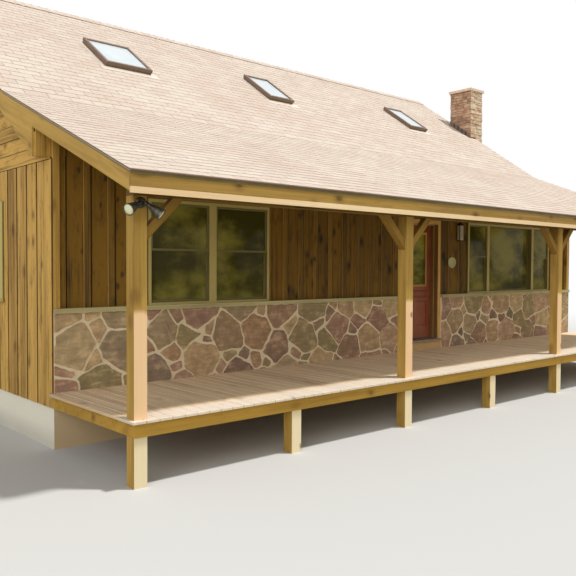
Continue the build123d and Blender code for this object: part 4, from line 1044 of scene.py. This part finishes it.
beam_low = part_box("porch_beam")[0]
flood_in, flood_drop, bells_apart, bells_out = 0.035, 0.065, 0.018, 0.050
flood_at = Vector((left_face + flood_in, beam_low.y, beam_low.z - flood_drop))
to_front = Matrix.Rotation(math.pi / 2, 4, "X")
plate_turn = Matrix.Translation(flood_at) @ to_front
plate = ((0, 0), (0.052, 0), (0.052, 0.018), (0.044, 0.026), (0, 0.028))
stub = ((0, 0), (0.013, 0), (0.013, 0.046), (0, 0.050))
bell = ((0, 0), (0.020, 0), (0.023, 0.012), (0.023, 0.060), (0.027, 0.074), (0.034, 0.090), (0.047, 0.140),
        (0.056, 0.180), (0.060, 0.190), (0.061, 0.199), (0.056, 0.199), (0.053, 0.184), (0, 0.172))
lamp_lens = ((0, 0.173), (0.053, 0.185), (0.053, 0.189), (0.036, 0.196), (0, 0.199))
fitting, lenses = Pile(91), Pile(92)
fitting.lay(turned(28, *plate), turn=plate_turn)
fitting.lay(turned(16, *stub), turn=plate_turn)
for side, swivel, droop in ((-1, -70, 25), (1, 48, 37)):
    hung = Matrix.Translation(flood_at + Vector((side * bells_apart, -bells_out, 0)))
    sideways = Matrix.Rotation(math.radians(swivel), 4, "Z")
    aim = hung @ sideways @ Matrix.Rotation(math.radians(90 + droop), 4, "X")
    fitting.lay(turned(24, *bell), turn=aim)
    lenses.lay(turned(24, *lamp_lens), turn=aim)
lamp_grey = metal("lamp_bells", rgb(120, 118, 108), rgb(56, 54, 48), 0.4)
fitting.piece("flood_light_bells", lamp_grey, slot="lamp_metal", replaces=("flood_light",))
frosted = mottled("frosted_lens", rgb(246, 249, 216), rgb(252, 253, 232), (90, 2), (200, 2), 0.35, 0.0005)
lenses.piece("flood_light_lenses", frosted, slot="lamp_metal")

# A small lantern hangs by the door: a black tin cage with four panes and a peaked lid. It
# stands where the CAD one does.
low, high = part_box("wall_lantern")
centre = (low + high) / 2
tin = metal("lantern_tin", rgb(58, 54, 48), rgb(38, 34, 30), 0.5)
tin_plate, tin_bar, lid_from, cage_back = 0.014, 0.010, high.z - 0.045, front_face - 0.018
wall_plate, plate_short, pane_in = 0.035, 0.03, 0.004
cage, panes = Pile(93), Pile(94)
cage.lay(sawn((centre.x - wall_plate, front_face - 0.020, low.z + plate_short),
              (centre.x + wall_plate, front_face - wall_skin, lid_from - plate_short), 0.003))
for z0, z1 in ((low.z, low.z + tin_plate), (lid_from - tin_plate, lid_from)):
    cage.lay(sawn((low.x, low.y, z0), (high.x, cage_back, z1), 0.002))
for x0 in (low.x, high.x - tin_bar):
    for y0 in (low.y, front_face - 0.030):
        cage.lay(sawn((x0, y0, low.z + tin_plate), (x0 + tin_bar, y0 + tin_bar, lid_from - tin_plate), 0.001))
lid = turned(4, (0, 0), (0.062, 0), (0.050, 0.008), (0.020, 0.030), (0.008, 0.036), (0.008, 0.045),
             (0, 0.045))
for face in lid.faces:
    face.smooth = False
lid_at = Matrix.Translation((centre.x, (low.y + cage_back) / 2, lid_from))
cage.lay(lid, turn=lid_at @ Matrix.Rotation(math.pi / 4, 4, "Z"))
cage.piece("wall_lantern_cage", tin, slot="lamp_metal", replaces=("wall_lantern",))
panes.lay(sawn((low.x + pane_in, low.y + pane_in, low.z + 0.013),
               (high.x - pane_in, front_face - 0.024, lid_from - 0.013), 0))
lamp_pane = mottled("lantern_glass", rgb(170, 164, 140), rgb(206, 200, 178), (30, 2), (12, 2), 0.15)
panes.piece("wall_lantern_panes", lamp_pane, slot="lamp_metal")

# A bare oval plaque is screwed to the wall between the door and the triple window. Its
# enamel is a pale olive.
plaque = Pile(95)
plaque_along, plaque_height, plaque_proud = 7.62, 2.19, 0.001
plaque_y = front_face - batten_out + plaque_proud
plaque_at = Matrix.Translation((left_face + plaque_along, plaque_y, plaque_height))
one = turned(40, (0, 0), (0.110, 0), (0.112, 0.006), (0.104, 0.013), (0.098, 0.010), (0, 0.010))
bmesh.ops.scale(one, vec=(1.08, 0.92, 1.0), verts=one.verts)
plaque.lay(one, turn=plaque_at @ to_front)
enamel = mottled("plaque_enamel", rgb(176, 168, 104), rgb(204, 196, 140), (20, 3), (60, 2), 0.4, 0.0005)
plaque.piece("wall_plaque", enamel, slot="tan_trim")
